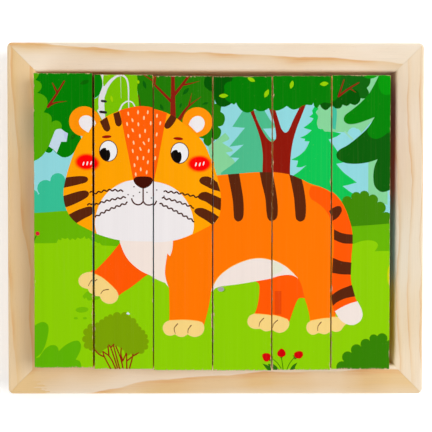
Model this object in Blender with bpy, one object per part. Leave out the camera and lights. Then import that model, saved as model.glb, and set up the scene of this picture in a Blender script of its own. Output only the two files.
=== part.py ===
"""Wooden strip picture puzzle: six square printed sticks lying side by side in a shallow pine tray.

The tray is four mitred rails pinned at the corners round a thin plywood board, which sits in a groove.
The sticks are loose. They stand proud of the rails, and each one lifts straight out.

Lengths are in metres. X runs across the sticks, Y along them and Z up. The origin is under the middle of
the tray, on the surface that it stands on. The far side is +Y.
"""

import math

import bmesh
import bpy

# Sticks
STICK_COUNT = 6
STICK_LENGTH = 0.100
STICK_SIDE = 0.01985  # square section
STICK_EDGE_ROUND = 0.0006
STICK_GAP = 0.0003  # between two sticks
FIRST_STICK_GAP = 0.0006  # between the first two, which have drifted apart
# How far each stick has slid away from the near rail, in order from the left
STICK_DRIFTS = (0.0010, 0.0005, 0.0001, 0.0000, 0.0002, 0.0005)

# Play of the sticks in the tray
LEFT_PLAY = 0.0014
RIGHT_PLAY = 0.0039
END_PLAY = 0.0035

# Rails
RAIL_WIDTH = 0.0102
RAIL_HEIGHT = 0.0152
RAIL_TOP_ROUND = 0.0010
RAIL_FOOT_ROUND = 0.0005
CORNER_ROUND = 0.0018  # outer corners of the tray, seen from above
MITRE_GAP = 0.0003
ROUND_STEPS = 3  # faces in each eased edge

# Board and its groove
BOARD_THICKNESS = 0.0030
BOARD_RECESS = 0.0020  # lip of the rails under the groove
GROOVE_DEPTH = 0.0040

# Corner pins, two to a corner, driven along Y through the near and far rails
PIN_RADIUS = 0.0006
PIN_LENGTH = 0.0140
PIN_TIP = 0.0012
PIN_HEAD_RADIUS = 0.0009
PIN_HEAD_THICKNESS = 0.0005
PIN_SINK = 0.0002  # head below the face of the rail
PIN_EDGE_DISTANCE = 0.0042  # from the foot and from the top of the rail
PIN_SIDES = 16

FIT_GAP = 0.0003  # between pieces that touch

# Worked out from the sizes above
STICKS_WIDTH = STICK_COUNT * STICK_SIDE + FIRST_STICK_GAP + (STICK_COUNT - 2) * STICK_GAP
OPENING_X = LEFT_PLAY + STICKS_WIDTH + RIGHT_PLAY
OPENING_Y = STICK_LENGTH + END_PLAY
TRAY_X = OPENING_X + 2 * RAIL_WIDTH
TRAY_Y = OPENING_Y + 2 * RAIL_WIDTH
GROOVE_TOP = BOARD_RECESS + BOARD_THICKNESS + 2 * FIT_GAP
BOARD_TOP = BOARD_RECESS + FIT_GAP + BOARD_THICKNESS
PIN_INSET = (RAIL_WIDTH - GROOVE_DEPTH) / 2  # the middle of the wood outside the groove
PIN_HEIGHTS = (PIN_EDGE_DISTANCE, RAIL_HEIGHT - PIN_EDGE_DISTANCE)


def clear_scene():
    for obj in list(bpy.data.objects):
        bpy.data.objects.remove(obj, do_unlink=True)


def make_material(name, colour, roughness, metallic=0.0):
    material = bpy.data.materials.new(name)
    material.use_nodes = True
    shader = material.node_tree.nodes["Principled BSDF"]
    shader.inputs["Base Color"].default_value = (*colour, 1.0)
    shader.inputs["Roughness"].default_value = roughness
    shader.inputs["Metallic"].default_value = metallic
    return material


def add_object(name, mesh, material, parent=None):
    obj = bpy.data.objects.new(name, mesh)
    bpy.context.scene.collection.objects.link(obj)
    obj.parent = parent
    if not mesh.materials:
        mesh.materials.append(material)
    return obj


def mesh_from(bm, name):
    """The finished bmesh as a mesh, with its faces turned outwards and its round parts shaded smooth."""
    bmesh.ops.recalc_face_normals(bm, faces=bm.faces)
    mesh = bpy.data.meshes.new(name)
    bm.to_mesh(mesh)
    bm.free()
    mesh.shade_smooth()
    mesh.set_sharp_from_angle(angle=math.radians(35))
    return mesh


def eased_edge(inset, height, radius, turn_from):
    """Points of the clockwise quarter turn that rounds the corner at (inset, height)."""
    first = math.radians(turn_from)
    middle_x = inset - radius * (math.cos(first) + math.sin(first))
    middle_z = height - radius * (math.sin(first) - math.cos(first))
    turns = [first - step / ROUND_STEPS * math.pi / 2 for step in range(ROUND_STEPS + 1)]
    return [(middle_x + radius * math.cos(t), middle_z + radius * math.sin(t)) for t in turns]


def rail_profile():
    """Section of a rail as (inset from the tray's outer face, height), clockwise from the outer foot."""
    groove_back = RAIL_WIDTH - GROOVE_DEPTH
    return [
        *eased_edge(0, 0, RAIL_FOOT_ROUND, 270),
        *eased_edge(0, RAIL_HEIGHT, RAIL_TOP_ROUND, 180),
        *eased_edge(RAIL_WIDTH, RAIL_HEIGHT, RAIL_TOP_ROUND, 90),
        (RAIL_WIDTH, GROOVE_TOP),
        (groove_back, GROOVE_TOP),
        (groove_back, BOARD_RECESS),
        (RAIL_WIDTH, BOARD_RECESS),
        *eased_edge(RAIL_WIDTH, 0, RAIL_FOOT_ROUND, 0),
    ]


def corner_trace(inset):
    """Path of one point of the section round the start of a rail, from its mitre to its straight run.

    The outer corner is round, so a point near the outer face follows an arc about the corner's centre, and
    a point deeper in goes straight to the mitre.
    """
    step_in = MITRE_GAP / math.sqrt(2)  # along the rail, from the corner's diagonal to this rail's end
    radius = CORNER_ROUND - inset
    if radius <= 0 or math.sqrt(2) * radius * math.sin(math.pi / 4) <= step_in:
        return [(inset + step_in, inset)] * (ROUND_STEPS + 1)
    first = math.radians(225) + math.asin(step_in / (math.sqrt(2) * radius))
    last = math.radians(270)
    turns = [first + (last - first) * step / ROUND_STEPS for step in range(ROUND_STEPS + 1)]
    return [(CORNER_ROUND + radius * math.cos(t), CORNER_ROUND + radius * math.sin(t)) for t in turns]


def rail_mesh(name, length):
    """A rail along +X from the corner of the tray, its outer face at Y = 0 and its foot at Z = 0."""
    bm = bmesh.new()
    rings = [[] for _ in range(2 * (ROUND_STEPS + 1))]
    for inset, height in rail_profile():
        start = corner_trace(inset)
        end = [(length - x, y) for x, y in reversed(start)]
        for ring, (x, y) in zip(rings, start + end):
            ring.append(bm.verts.new((x, y, height)))
    for ring, following in zip(rings, rings[1:]):
        for i in range(len(ring)):
            j = (i + 1) % len(ring)
            bm.faces.new((ring[i], ring[j], following[j], following[i]))
    bm.faces.new(rings[0])
    bm.faces.new(rings[-1])
    bmesh.ops.remove_doubles(bm, verts=bm.verts, dist=1e-6)
    return mesh_from(bm, name)


def turned_solid(bm, profile, foot, inwards):
    """Adds a solid turned about Y, from (distance along, radius) pairs. inwards is 1 for +Y and -1 for -Y."""
    x, y, z = foot
    rings = []
    for along, radius in profile:
        turns = [2 * math.pi * side / PIN_SIDES for side in range(PIN_SIDES)]
        at = y + inwards * along
        rings.append([bm.verts.new((x + radius * math.cos(t), at, z + radius * math.sin(t))) for t in turns])
    for ring, following in zip(rings, rings[1:]):
        for i in range(PIN_SIDES):
            j = (i + 1) % PIN_SIDES
            bm.faces.new((ring[i], ring[j], following[j], following[i]))
    bm.faces.new(rings[0])
    bm.faces.new(rings[-1])


def pin_places():
    """(name, foot on the outer face, direction along Y) of each corner pin."""
    for depth, inwards in (("near", 1), ("far", -1)):
        for side, across in (("left", -1), ("right", 1)):
            for level, height in zip(("lower", "upper"), PIN_HEIGHTS):
                foot = (across * (TRAY_X / 2 - PIN_INSET), -inwards * TRAY_Y / 2, height)
                yield f"pin_{depth}_{side}_{level}", foot, inwards


def make_rails(parent, material, holes):
    """The four rails, each turned a quarter from the last, with their pin holes cut."""
    places = (
        ("rail_near", TRAY_X, (-TRAY_X / 2, -TRAY_Y / 2), 0),
        ("rail_right", TRAY_Y, (TRAY_X / 2, -TRAY_Y / 2), 90),
        ("rail_far", TRAY_X, (TRAY_X / 2, TRAY_Y / 2), 180),
        ("rail_left", TRAY_Y, (-TRAY_X / 2, TRAY_Y / 2), 270),
    )
    for name, length, (x, y), turn in places:
        rail = add_object(name, rail_mesh(name, length), material, parent)
        rail.location = (x, y, 0)
        rail.rotation_euler.z = math.radians(turn)
        cut = rail.modifiers.new("pin_holes", "BOOLEAN")
        cut.operation = "DIFFERENCE"
        cut.solver = "EXACT"
        cut.object = holes


def make_pin_holes(parent, material):
    """The cutter for all the pin holes: a recess for each head, then a blind hole for its shank."""
    bm = bmesh.new()
    recess = PIN_SINK + PIN_HEAD_THICKNESS + FIT_GAP
    hole = PIN_RADIUS + FIT_GAP
    profile = (
        (-FIT_GAP, PIN_HEAD_RADIUS + FIT_GAP),
        (recess, PIN_HEAD_RADIUS + FIT_GAP),
        (recess, hole),
        (PIN_SINK + PIN_LENGTH + FIT_GAP, hole),
    )
    for _, foot, inwards in pin_places():
        turned_solid(bm, profile, foot, inwards)
    holes = add_object("pin_holes", mesh_from(bm, "pin_holes"), material, parent)
    holes.hide_render = True
    holes.display_type = "WIRE"
    return holes


def make_pins(parent, material):
    profile = (
        (0, PIN_HEAD_RADIUS),
        (PIN_HEAD_THICKNESS, PIN_HEAD_RADIUS),
        (PIN_HEAD_THICKNESS, PIN_RADIUS),
        (PIN_LENGTH - PIN_TIP, PIN_RADIUS),
        (PIN_LENGTH, PIN_RADIUS / 4),
    )
    for name, (x, y, z), inwards in pin_places():
        bm = bmesh.new()
        turned_solid(bm, profile, (0, 0, 0), inwards)
        pin = add_object(name, mesh_from(bm, name), material, parent)
        pin.location = (x, y + inwards * PIN_SINK, z)


def make_box(name, size_x, size_y, size_z, material, parent=None):
    """A box standing on its origin, which is under its middle."""
    bm = bmesh.new()
    bmesh.ops.create_cube(bm, size=1)
    bmesh.ops.translate(bm, verts=bm.verts, vec=(0, 0, 0.5))
    bmesh.ops.scale(bm, verts=bm.verts, vec=(size_x, size_y, size_z))
    return add_object(name, mesh_from(bm, name), material, parent)


def make_board(parent, material):
    """The plywood floor, whose edges stand in the grooves of all four rails."""
    overlap = 2 * (GROOVE_DEPTH - FIT_GAP)
    board = make_box(
        "base_board", OPENING_X + overlap, OPENING_Y + overlap, BOARD_THICKNESS, material, parent
    )
    board.location.z = BOARD_RECESS + FIT_GAP


def make_sticks(material):
    """The loose sticks, from the left. Each one's origin is under its middle, on the line it lifts along."""
    x = -OPENING_X / 2 + LEFT_PLAY + STICK_SIDE / 2
    first = make_box("stick_1", STICK_SIDE, STICK_LENGTH, STICK_SIDE, material)
    for i in range(STICK_COUNT):
        stick = first if i == 0 else add_object(f"stick_{i + 1}", first.data, material)
        drift = min(STICK_DRIFTS[i % len(STICK_DRIFTS)], END_PLAY - 2 * FIT_GAP)
        y = -OPENING_Y / 2 + FIT_GAP + drift + STICK_LENGTH / 2
        stick.location = (x, y, BOARD_TOP + FIT_GAP)
        edges = stick.modifiers.new("eased_edges", "BEVEL")
        edges.width = STICK_EDGE_ROUND
        edges.segments = ROUND_STEPS
        x += STICK_SIDE + (FIRST_STICK_GAP if i == 0 else STICK_GAP)


def main():
    clear_scene()
    pine = make_material("pine", (0.80, 0.58, 0.34), 0.55)
    plywood = make_material("plywood", (0.70, 0.52, 0.32), 0.65)
    print_on_wood = make_material("print_on_wood", (0.22, 0.55, 0.02), 0.45)
    steel = make_material("steel", (0.60, 0.58, 0.55), 0.35, 1.0)

    tray = bpy.data.objects.new("tray", None)
    bpy.context.scene.collection.objects.link(tray)
    holes = make_pin_holes(tray, steel)
    make_rails(tray, pine, holes)
    make_board(tray, plywood)
    make_pins(tray, steel)
    make_sticks(print_on_wood)


main()
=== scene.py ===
"""Wooden strip picture puzzle: the finished look of its rails, board, pins and printed sticks.

Lengths are in metres. X runs across the sticks, Y along them and Z up. The pictures on the sticks are
drawn in millimetres.
"""

import math

import bmesh
import bpy
import numpy as np
from mathutils import Matrix, Vector
from mathutils.geometry import delaunay_2d_cdt


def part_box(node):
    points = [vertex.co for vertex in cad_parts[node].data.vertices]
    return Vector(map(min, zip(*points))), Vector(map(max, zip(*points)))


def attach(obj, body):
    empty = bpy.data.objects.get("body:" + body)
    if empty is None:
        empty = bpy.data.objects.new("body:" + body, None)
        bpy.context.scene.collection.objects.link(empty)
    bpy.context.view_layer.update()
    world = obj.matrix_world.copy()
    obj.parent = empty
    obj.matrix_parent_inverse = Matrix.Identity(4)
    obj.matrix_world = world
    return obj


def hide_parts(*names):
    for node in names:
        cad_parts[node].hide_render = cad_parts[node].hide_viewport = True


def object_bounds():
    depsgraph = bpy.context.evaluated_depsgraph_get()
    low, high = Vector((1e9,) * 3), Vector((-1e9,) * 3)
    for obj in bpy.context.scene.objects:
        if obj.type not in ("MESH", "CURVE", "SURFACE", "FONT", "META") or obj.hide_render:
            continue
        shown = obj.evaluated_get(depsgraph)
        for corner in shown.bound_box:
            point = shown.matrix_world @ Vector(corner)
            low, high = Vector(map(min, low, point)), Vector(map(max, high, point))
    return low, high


bl_info = {
    "name": "Strip Picture Puzzle",
    "version": (1, 0, 0),
    "blender": (4, 5, 0),
    "location": "View3D > Sidebar > Strip Puzzle",
    "description": "Builds a pine tray of printed square sticks round its packed model",
    "category": "Add Mesh",
}

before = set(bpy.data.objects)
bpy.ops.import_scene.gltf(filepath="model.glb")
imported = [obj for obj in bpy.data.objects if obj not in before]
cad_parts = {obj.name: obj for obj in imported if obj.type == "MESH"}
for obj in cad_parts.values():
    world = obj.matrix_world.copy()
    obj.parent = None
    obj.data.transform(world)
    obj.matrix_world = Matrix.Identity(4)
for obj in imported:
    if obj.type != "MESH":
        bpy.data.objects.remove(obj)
cad_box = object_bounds()

RAILS = ("near", "right", "far", "left")  # in order round the tray, each a quarter turn from the last
STICK_COUNT = sum(name.startswith("stick_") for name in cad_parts)
PIN_NODES = sorted(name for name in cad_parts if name.startswith("pin_"))
MM = 0.001
TINY = 1e-6  # in metres, far below any real size


def size_of(node):
    low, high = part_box(node)
    return high - low


def shaded(colour, share):
    """A colour darkened to that share of its strength."""
    return [value * share for value in colour]


def rgb(red, green, blue):
    """A colour given as display values from 0 to 255, as the linear values that Blender works in."""
    return tuple(((v / 255 + 0.055) / 1.055) ** 2.4 if v > 10 else v / 3294.6 for v in (red, green, blue))


# ---- sizes and colours that a user would change ----


def length_property(name, description, default):
    return bpy.props.FloatProperty(
        name=name, description=description, default=default, min=0.0, subtype="DISTANCE", unit="LENGTH", precision=5
    )


def colour_property(name, description, red, green, blue):
    """A colour whose default is given as display values from 0 to 255."""
    return bpy.props.FloatVectorProperty(
        name=name, description=description, default=rgb(red, green, blue), min=0.0, max=1.0, size=3, subtype="COLOR"
    )


class STRIP_PG_tray(bpy.types.PropertyGroup):
    """Sizes of the tray's rails"""

    rail_width: length_property("Rail width", "Width of a rail seen from above", 0.0102)
    rail_height: length_property("Rail height", "Height of the tray", size_of("rail_near").z)
    top_round: length_property("Top edge", "Radius of the rails' upper edges", 0.0010)
    foot_round: length_property("Foot edge", "Radius of the rails' lower edges", 0.0005)
    corner_round: length_property("Corner", "Radius of the tray's outer corners", 0.0018)
    mitre_gap: length_property("Mitre gap", "Open joint between two rails", 0.00003)
    groove_depth: length_property("Groove depth", "Depth of the groove for the board", 0.0040)
    groove_low: length_property("Groove floor", "Height of the groove's lower side", 0.0020)
    groove_high: length_property("Groove roof", "Height of the groove's upper side", 0.0056)
    round_steps: bpy.props.IntProperty(
        name="Edge steps", description="Faces in each rounded edge", default=7, min=1, max=24
    )


class STRIP_PG_pins(bpy.types.PropertyGroup):
    """Sizes of the corner pins"""

    head_radius: length_property("Head radius", "Radius of a pin's head", 0.0009)
    head_thickness: length_property("Head thickness", "Thickness of a pin's head", 0.0005)
    shank_radius: length_property("Shank radius", "Radius of the wire", 0.0006)
    shank_length: length_property("Length", "Length of a pin with its head", size_of(PIN_NODES[0]).y)
    tip_length: length_property("Point", "Length of a pin's point", 0.0012)
    dent: length_property("Dent", "Clearance of the dent round a pin's head", 0.00012)


class STRIP_PG_sticks(bpy.types.PropertyGroup):
    """Sizes of the printed sticks"""

    edge_round: length_property("Edge", "Radius of a stick's eased edges", 0.00022)
    edge_lines: bpy.props.IntProperty(
        name="Edge lines", description="Lines on each side of an eased edge", default=3, min=2, max=8
    )


class STRIP_PG_colours(bpy.types.PropertyGroup):
    """Colours of the wood, the metal and the main inks"""

    pine_pale: colour_property("Pine", "Pale wood of the rails", 243, 228, 208)
    pine_streak: colour_property("Pine streak", "Honey streaks in the rails", 228, 188, 122)
    bare_wood: colour_property("Bare stick", "Wood of the sticks where the ink is worn off", 224, 188, 148)
    plywood: colour_property("Plywood", "Face of the board", 214, 180, 136)
    steel: colour_property("Steel", "Corner pins", 196, 192, 186)
    floor: colour_property("Floor", "Floor that the puzzle stands on", 255, 255, 255)
    sky: colour_property("Sky", "Sky behind the trees", 144, 214, 220)
    hill: colour_property("Hill", "Shaded hill", 104, 180, 2)
    grass: colour_property("Grass", "Sunny grass", 140, 205, 2)
    herb: colour_property("Herb", "Leaves on the grass", 94, 178, 2)
    fur: colour_property("Fur", "The tiger's near side", 255, 118, 0)
    dark_fur: colour_property("Dark fur", "The tiger's far legs and tail", 255, 88, 2)
    face: colour_property("Face", "The tiger's face", 255, 162, 0)
    ear: colour_property("Ear", "The tiger's ears", 255, 146, 6)
    blaze: colour_property("Blaze", "Patch between the tiger's eyes", 255, 95, 5)
    stripe: colour_property("Stripe", "The tiger's stripes", 88, 36, 12)
    muzzle: colour_property("Muzzle", "The tiger's muzzle", 238, 232, 232)
    chest: colour_property("Chest", "The tiger's chest", 242, 226, 216)
    belly: colour_property("Belly", "The tiger's belly", 240, 226, 218)
    paw: colour_property("Paw", "The tiger's paws", 246, 211, 130)


class STRIP_PG_puzzle(bpy.types.PropertyGroup):
    """Everything that the puzzle is made from"""

    tray: bpy.props.PointerProperty(type=STRIP_PG_tray)
    pins: bpy.props.PointerProperty(type=STRIP_PG_pins)
    sticks: bpy.props.PointerProperty(type=STRIP_PG_sticks)
    colours: bpy.props.PointerProperty(type=STRIP_PG_colours)


# ---- node trees written as Python ----


def maths_node(operation, swapped=False):
    """A method of Socket that adds one Math node, taking its socket first or, when swapped, last."""

    def method(self, *others):
        values = (*others, self) if swapped else (self, *others)
        return self.nodes.add("ShaderNodeMath", {"operation": operation}, dict(enumerate(values)))

    return method


class Socket:
    """A node's output in an expression: each operator adds a Math node to its tree."""

    def __init__(self, nodes, socket):
        self.nodes, self.socket = nodes, socket

    __add__ = __radd__ = maths_node("ADD")
    __mul__ = __rmul__ = maths_node("MULTIPLY")
    __sub__, __rsub__ = maths_node("SUBTRACT"), maths_node("SUBTRACT", swapped=True)
    __truediv__ = maths_node("DIVIDE")
    __mod__ = maths_node("FLOORED_MODULO")
    __pow__ = maths_node("POWER")
    __gt__ = maths_node("GREATER_THAN")
    __abs__ = maths_node("ABSOLUTE")
    least, most = maths_node("MINIMUM"), maths_node("MAXIMUM")
    sin, cos, arcsine = maths_node("SINE"), maths_node("COSINE"), maths_node("ARCSINE")
    whole = maths_node("ROUND")

    def ramp(self, low, high):
        """0 below low, 1 above high, and a straight slope between."""
        return self.nodes.add("ShaderNodeMapRange", {}, {0: self, 1: low, 2: high})


class Nodes:
    """Adds nodes to a tree."""

    def __init__(self, tree):
        self.tree = tree

    def add(self, kind, settings=None, inputs=None, output=0):
        """A node of that kind, with its settings made first and then its sockets given values or links."""
        node = self.tree.nodes.new(kind)
        for name, value in (settings or {}).items():
            if name == "stops":
                ramp = node.color_ramp.elements
                while len(ramp) < len(value):
                    ramp.new(1.0)
                for stop, (at, colour) in zip(ramp, value):
                    stop.position, stop.color = at, colour
            elif name == "items":
                while len(node.index_switch_items) < value:
                    node.index_switch_items.new()
            else:
                setattr(node, name, value)
        for key, value in (inputs or {}).items():
            if isinstance(value, Socket):
                self.tree.links.new(value.socket, node.inputs[key])
            else:
                node.inputs[key].default_value = value
        return Socket(self, node.outputs[output]) if len(node.outputs) else node

    def place(self):
        """Where a point of the piece is, in metres."""
        return self.add("ShaderNodeTexCoord", output="Object")

    def parts(self, vector):
        """The x, y and z of a vector."""
        first = self.add("ShaderNodeSeparateXYZ", {}, {0: vector})
        return [Socket(self, out) for out in first.socket.node.outputs]

    def vector(self, x, y, z):
        return self.add("ShaderNodeCombineXYZ", {}, {0: x, 1: y, 2: z})

    def scaled(self, vector, x, y, z):
        """A place measured in steps of that many millimetres along each axis."""
        steps = tuple(1000 / size for size in (x, y, z))
        return self.add("ShaderNodeVectorMath", {"operation": "MULTIPLY"}, {0: vector, 1: steps})

    def noise(self, vector, detail=2.0, roughness=0.5):
        sockets = {"Vector": vector, "Scale": 1.0, "Detail": detail, "Roughness": roughness}
        return self.add("ShaderNodeTexNoise", {"noise_dimensions": "3D"}, sockets)

    def spots(self, x, y, z, detail=1.0, roughness=0.5):
        """Noise over the piece, in spots of about that many millimetres along each axis."""
        return self.noise(self.scaled(self.place(), x, y, z), detail, roughness)

    def mix(self, share, first, second):
        """Two colours mixed, each three values or a Socket."""
        first, second = (colour if isinstance(colour, Socket) else (*colour, 1.0) for colour in (first, second))
        return self.add("ShaderNodeMix", {"data_type": "RGBA"}, {0: share, 6: first, 7: second}, 2)

    def tone(self, colour, strength):
        """A colour made lighter or darker."""
        return self.add("ShaderNodeVectorMath", {"operation": "SCALE"}, {0: colour, "Scale": strength})

    def grid(self, columns, rows):
        """A flat grid of squares that measure 1, about the origin."""
        size = {"Size X": columns, "Size Y": rows, "Vertices X": columns + 1, "Vertices Y": rows + 1}
        return self.add("GeometryNodeMeshGrid", {}, size)


def material_with(name, build, specular):
    """A material whose shader takes what build(nodes) returns for its sockets."""
    material = bpy.data.materials.new(name)
    material.use_nodes = True
    nodes = Nodes(material.node_tree)
    shader = material.node_tree.nodes["Principled BSDF"]
    shader.inputs["Specular IOR Level"].default_value = specular
    for socket, value in build(nodes).items():
        if isinstance(value, Socket):
            material.node_tree.links.new(value.socket, shader.inputs[socket])
        else:
            shader.inputs[socket].default_value = value
    return material


def bumped(nodes, height, depth):
    """A normal from a height of 0 to 1, where 1 stands depth millimetres proud."""
    return nodes.add("ShaderNodeBump", {}, {"Strength": 1.0, "Distance": depth * MM, "Height": height}, "Normal")


def rail_pine(name, colours, turn, edge, spacing, late_wood, boldness, honey, shift, pale_from=-200):
    """Pine with its grain along a rail, all lengths in millimetres.

    A year's growth ends sharply at across = edge[0] + edge[1] * along + edge[2] * along**2, and the others lie a
    spacing apart. late_wood says at what shares of a year its honey colour starts and is full, boldness how much
    of it shows and honey how much of it the whole rail has. Before pale_from the early wood is honey too.
    """

    rim, slant = 15, 0.4  # the edge is given at that height, and moves that far across for each step up
    wandering, rippling = 5.5, 0.9  # how far the slow and the quick waves carry a year's end
    years_in = 9
    given_at, tearing = -59.7, 14  # pale_from holds at that place across, and the boundary is that ragged

    def build(nodes):
        turned_with_rail = {"Vector": nodes.place(), "Rotation": (0, 0, turn), "Scale": (1 / MM,) * 3}
        along, across, up = nodes.parts(nodes.add("ShaderNodeMapping", {}, turned_with_rail))

        def spots(length, width, start=shift, detail=1.0, roughness=0.5):
            """Noise drawn out along the rail, in spots of about that length and width."""
            return nodes.noise(nodes.vector(along / length + start, across / width, up / width), detail, roughness)

        # where in its year each point grew, from 0 to a sharp end at 1
        offset = across + (up - rim) * slant - edge[0] - along * edge[1] - along * along * edge[2]
        waves = (spots(34, 16) - 0.5) * wandering + (spots(7, 3) - 0.5) * rippling
        ring = (offset + waves) / spacing + years_in
        year = ring % 1.0
        late = year.ramp(*late_wood) * (1 - year.ramp(0.955, 1.0))
        doubled = year.ramp(0.68, 0.76) * (1 - year.ramp(0.78, 0.82)) * 0.5
        strength = nodes.noise(nodes.vector(ring / 2.3 + shift, along / 24, 0.0), 1.0).ramp(0.36, 0.62)
        ragged = (across - given_at) * 1.3 + (spots(6, 0.9, 0.0, 2.0) - 0.5) * tearing
        old = 1 - (along - pale_from + ragged).ramp(-0.4, 0.4)
        streak = ((late**1.5).most(doubled) * (0.6 + strength * 0.4)).most(old) * boldness
        # the dark line at the end of a year, broken into threads
        threads = spots(12, 0.34, -shift, 2.0).ramp(0.42, 0.62)
        line = year.ramp(0.78, 0.93) * (1 - year.ramp(0.96, 1.0)) * strength * (0.35 + threads * 0.65) * boldness
        fibre = spots(16, 0.22, shift, 3.0, 0.6)
        flecks = spots(2.4, 0.16, -shift).ramp(0.68, 0.78)
        cloud = spots(30, 9, -shift, 2.0).ramp(0.35, 0.75)
        colour = nodes.mix(streak, colours.pine_pale[:], colours.pine_streak[:])
        # honey lays streak colour over the whole rail; on the left rail part of it is painted warm shade
        colour = nodes.mix(cloud * 0.25 + honey, colour, colours.pine_streak[:])
        colour = nodes.mix(line * 0.75, colour, rgb(222, 152, 92))
        colour = nodes.mix(flecks * 0.22, colour, shaded(colours.pine_streak, 0.55))
        return {
            "Base Color": nodes.tone(colour, 0.93 + fibre * 0.14),
            "Roughness": 0.42 + fibre * 0.2,
            "Normal": bumped(nodes, fibre * 0.6 + late * 0.4, 0.06),
        }

    return material_with(name, build, 0.25)


def board_plywood(colours):
    """Rotary-cut face veneer with its figure along X."""

    def build(nodes):
        along, across, up = nodes.parts(nodes.scaled(nodes.place(), 1, 1, 1))
        wander = nodes.noise(nodes.vector(along / 55, across / 24, 4.0), 2.0)
        figure = (across / 7.5 + (wander - 0.5) * 7.0) % 1.0
        late = figure.ramp(0.2, 0.85) * (1 - figure.ramp(0.9, 1.0))
        fibre = nodes.noise(nodes.vector(along / 12, across / 0.3, up / 0.3), 3.0, 0.6)
        pores = nodes.noise(nodes.vector(along / 1.6, across / 0.14, 2.0), 0.0).ramp(0.66, 0.74)
        colour = nodes.mix(late * 0.45, colours.plywood[:], shaded(colours.plywood, 0.66))
        colour = nodes.mix(pores * 0.35, colour, shaded(colours.plywood, 0.4))
        ply = (up / 0.75) % 2.0 > 1.0  # every other ply shows darker on the edges
        colour = nodes.tone(colour, (0.9 + fibre * 0.2) * (1 - ply * 0.12))
        normal = bumped(nodes, fibre - pores * 0.8, 0.08)
        return {"Base Color": colour, "Roughness": 0.6 + fibre * 0.15, "Normal": normal}

    return material_with("board plywood", build, 0.2)


def pin_steel(colours):
    """Drawn wire with faint rings, a little dulled."""

    def build(nodes):
        rings, dull = nodes.spots(2, 0.12, 2), nodes.spots(0.5, 0.5, 0.5, 2.0)
        colour = nodes.mix(dull.ramp(0.45, 0.8) * 0.5, colours.steel[:], shaded(colours.steel, 0.5))
        normal = bumped(nodes, rings, 0.01)
        return {"Base Color": colour, "Metallic": 1.0, "Roughness": 0.28 + dull * 0.25, "Normal": normal}

    return material_with("pin steel", build, 0.5)


def stick_print(colours, side, length):
    """Ink laid straight on planed wood. It is thin along the grain and chipped off the edges."""

    def build(nodes):
        round_stick, lengthwise, _ = nodes.parts(nodes.add("ShaderNodeUVMap", {"uv_map": "unrolled"}))
        ink = nodes.add("ShaderNodeAttribute", {"attribute_name": "ink"}, output="Color")
        laid = Socket(nodes, ink.socket.node.outputs["Alpha"])
        to_edge = (0.5 - abs((round_stick * 4) % 1.0 - 0.5)) * (side / MM)
        to_end = (0.5 - abs(lengthwise - 0.5)) * (length / MM)
        lines, bands = nodes.spots(0.34, 42, 0.34, 2.0, 0.55), nodes.spots(2.6, 120, 2.6)
        speck = nodes.spots(0.18, 0.7, 0.18)
        # chips of ink are gone along the edges and ends, fewer the further in, and more in some places than others
        chips, patchy = nodes.spots(0.55, 2.4, 0.55, 3.0, 0.62), nodes.spots(6, 14, 6)
        worn = (chips + (patchy - 0.5) * 0.6 - 0.55 - to_edge * 0.42).ramp(0.0, 0.05)
        worn = worn.most((chips - 0.44 - to_end * 0.4).ramp(0.0, 0.06))
        thin = lines.ramp(0.56, 0.80) * 0.045 + speck.ramp(0.77, 0.83) * 0.3
        bare = worn.most(1 - laid).most(thin)
        wood = nodes.mix(lines.ramp(0.3, 0.75), colours.bare_wood[:], shaded(colours.bare_wood, 0.62))
        tinted = nodes.tone(ink, 0.93 + lines * 0.07 + bands * 0.07)
        return {
            "Base Color": nodes.mix(bare, tinted, wood),
            "Roughness": 0.40 + lines * 0.14 + worn * 0.25,
            "Normal": bumped(nodes, lines * 0.5 + (1 - worn) * 0.6, 0.035),
        }

    return material_with("stick print", build, 0.02)


def stick_end_grain(colours):
    """Sawn ends: year rings cut across, fine pores and saw marks."""

    def build(nodes):
        heart = nodes.add("ShaderNodeAttribute", {"attribute_name": "ring_place"}, output="Vector")
        offset = nodes.add("ShaderNodeVectorMath", {"operation": "SUBTRACT"}, {0: nodes.place(), 1: heart})
        across, _, up = nodes.parts(nodes.scaled(offset, 1, 1, 1))
        ring_width = 2.3
        ring = (across * across + up * up) ** 0.5 / ring_width + (nodes.spots(8, 8, 8, 2.0) - 0.5) * 0.9
        late = (ring % 1.0).ramp(0.3, 0.9)
        pores, saw = nodes.spots(0.12, 0.5, 0.12), nodes.spots(9, 1, 0.25)
        colour = nodes.mix(late * 0.3, colours.bare_wood[:], shaded(colours.bare_wood, 0.55))
        colour = nodes.tone(colour, 0.76 + pores * 0.26 + saw * 0.14)
        return {"Base Color": colour, "Roughness": 0.78, "Normal": bumped(nodes, pores * 0.6 + saw * 0.4, 0.05)}

    return material_with("stick end grain", build, 0.2)


def stage_floor(colours):
    """Matt pale paper, which glows more where the lamps don't reach, so that it has no edge."""

    def build(nodes):
        far = nodes.add("ShaderNodeVectorMath", {"operation": "LENGTH"}, {0: nodes.place()}, "Value").ramp(0.25, 1.6)
        return {
            "Base Color": nodes.tone(colours.floor[:], 0.99 + nodes.spots(260, 260, 260) * 0.01),
            "Emission Color": nodes.vector(*[far * 0.55 + 0.22] * 3),
            "Emission Strength": 1.0,
            "Roughness": 0.9,
        }

    return material_with("stage floor", build, 0.0)


# ---- Geometry Nodes ----


def geometry_tree(name, inputs):
    """An empty tree with a geometry in and out and those inputs, as (name, type, default)."""
    tree = bpy.data.node_groups.new(name, "GeometryNodeTree")
    tree.interface.new_socket("Geometry", in_out="INPUT", socket_type="NodeSocketGeometry")
    tree.interface.new_socket("Geometry", in_out="OUTPUT", socket_type="NodeSocketGeometry")
    for label, kind, default in inputs:
        socket = tree.interface.new_socket(label, in_out="INPUT", socket_type="NodeSocket" + kind)
        if default is not None:
            socket.default_value = default
    nodes = Nodes(tree)
    source = tree.nodes.new("NodeGroupInput")
    return nodes, {out.name: Socket(nodes, out) for out in source.outputs if out.name}


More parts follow.
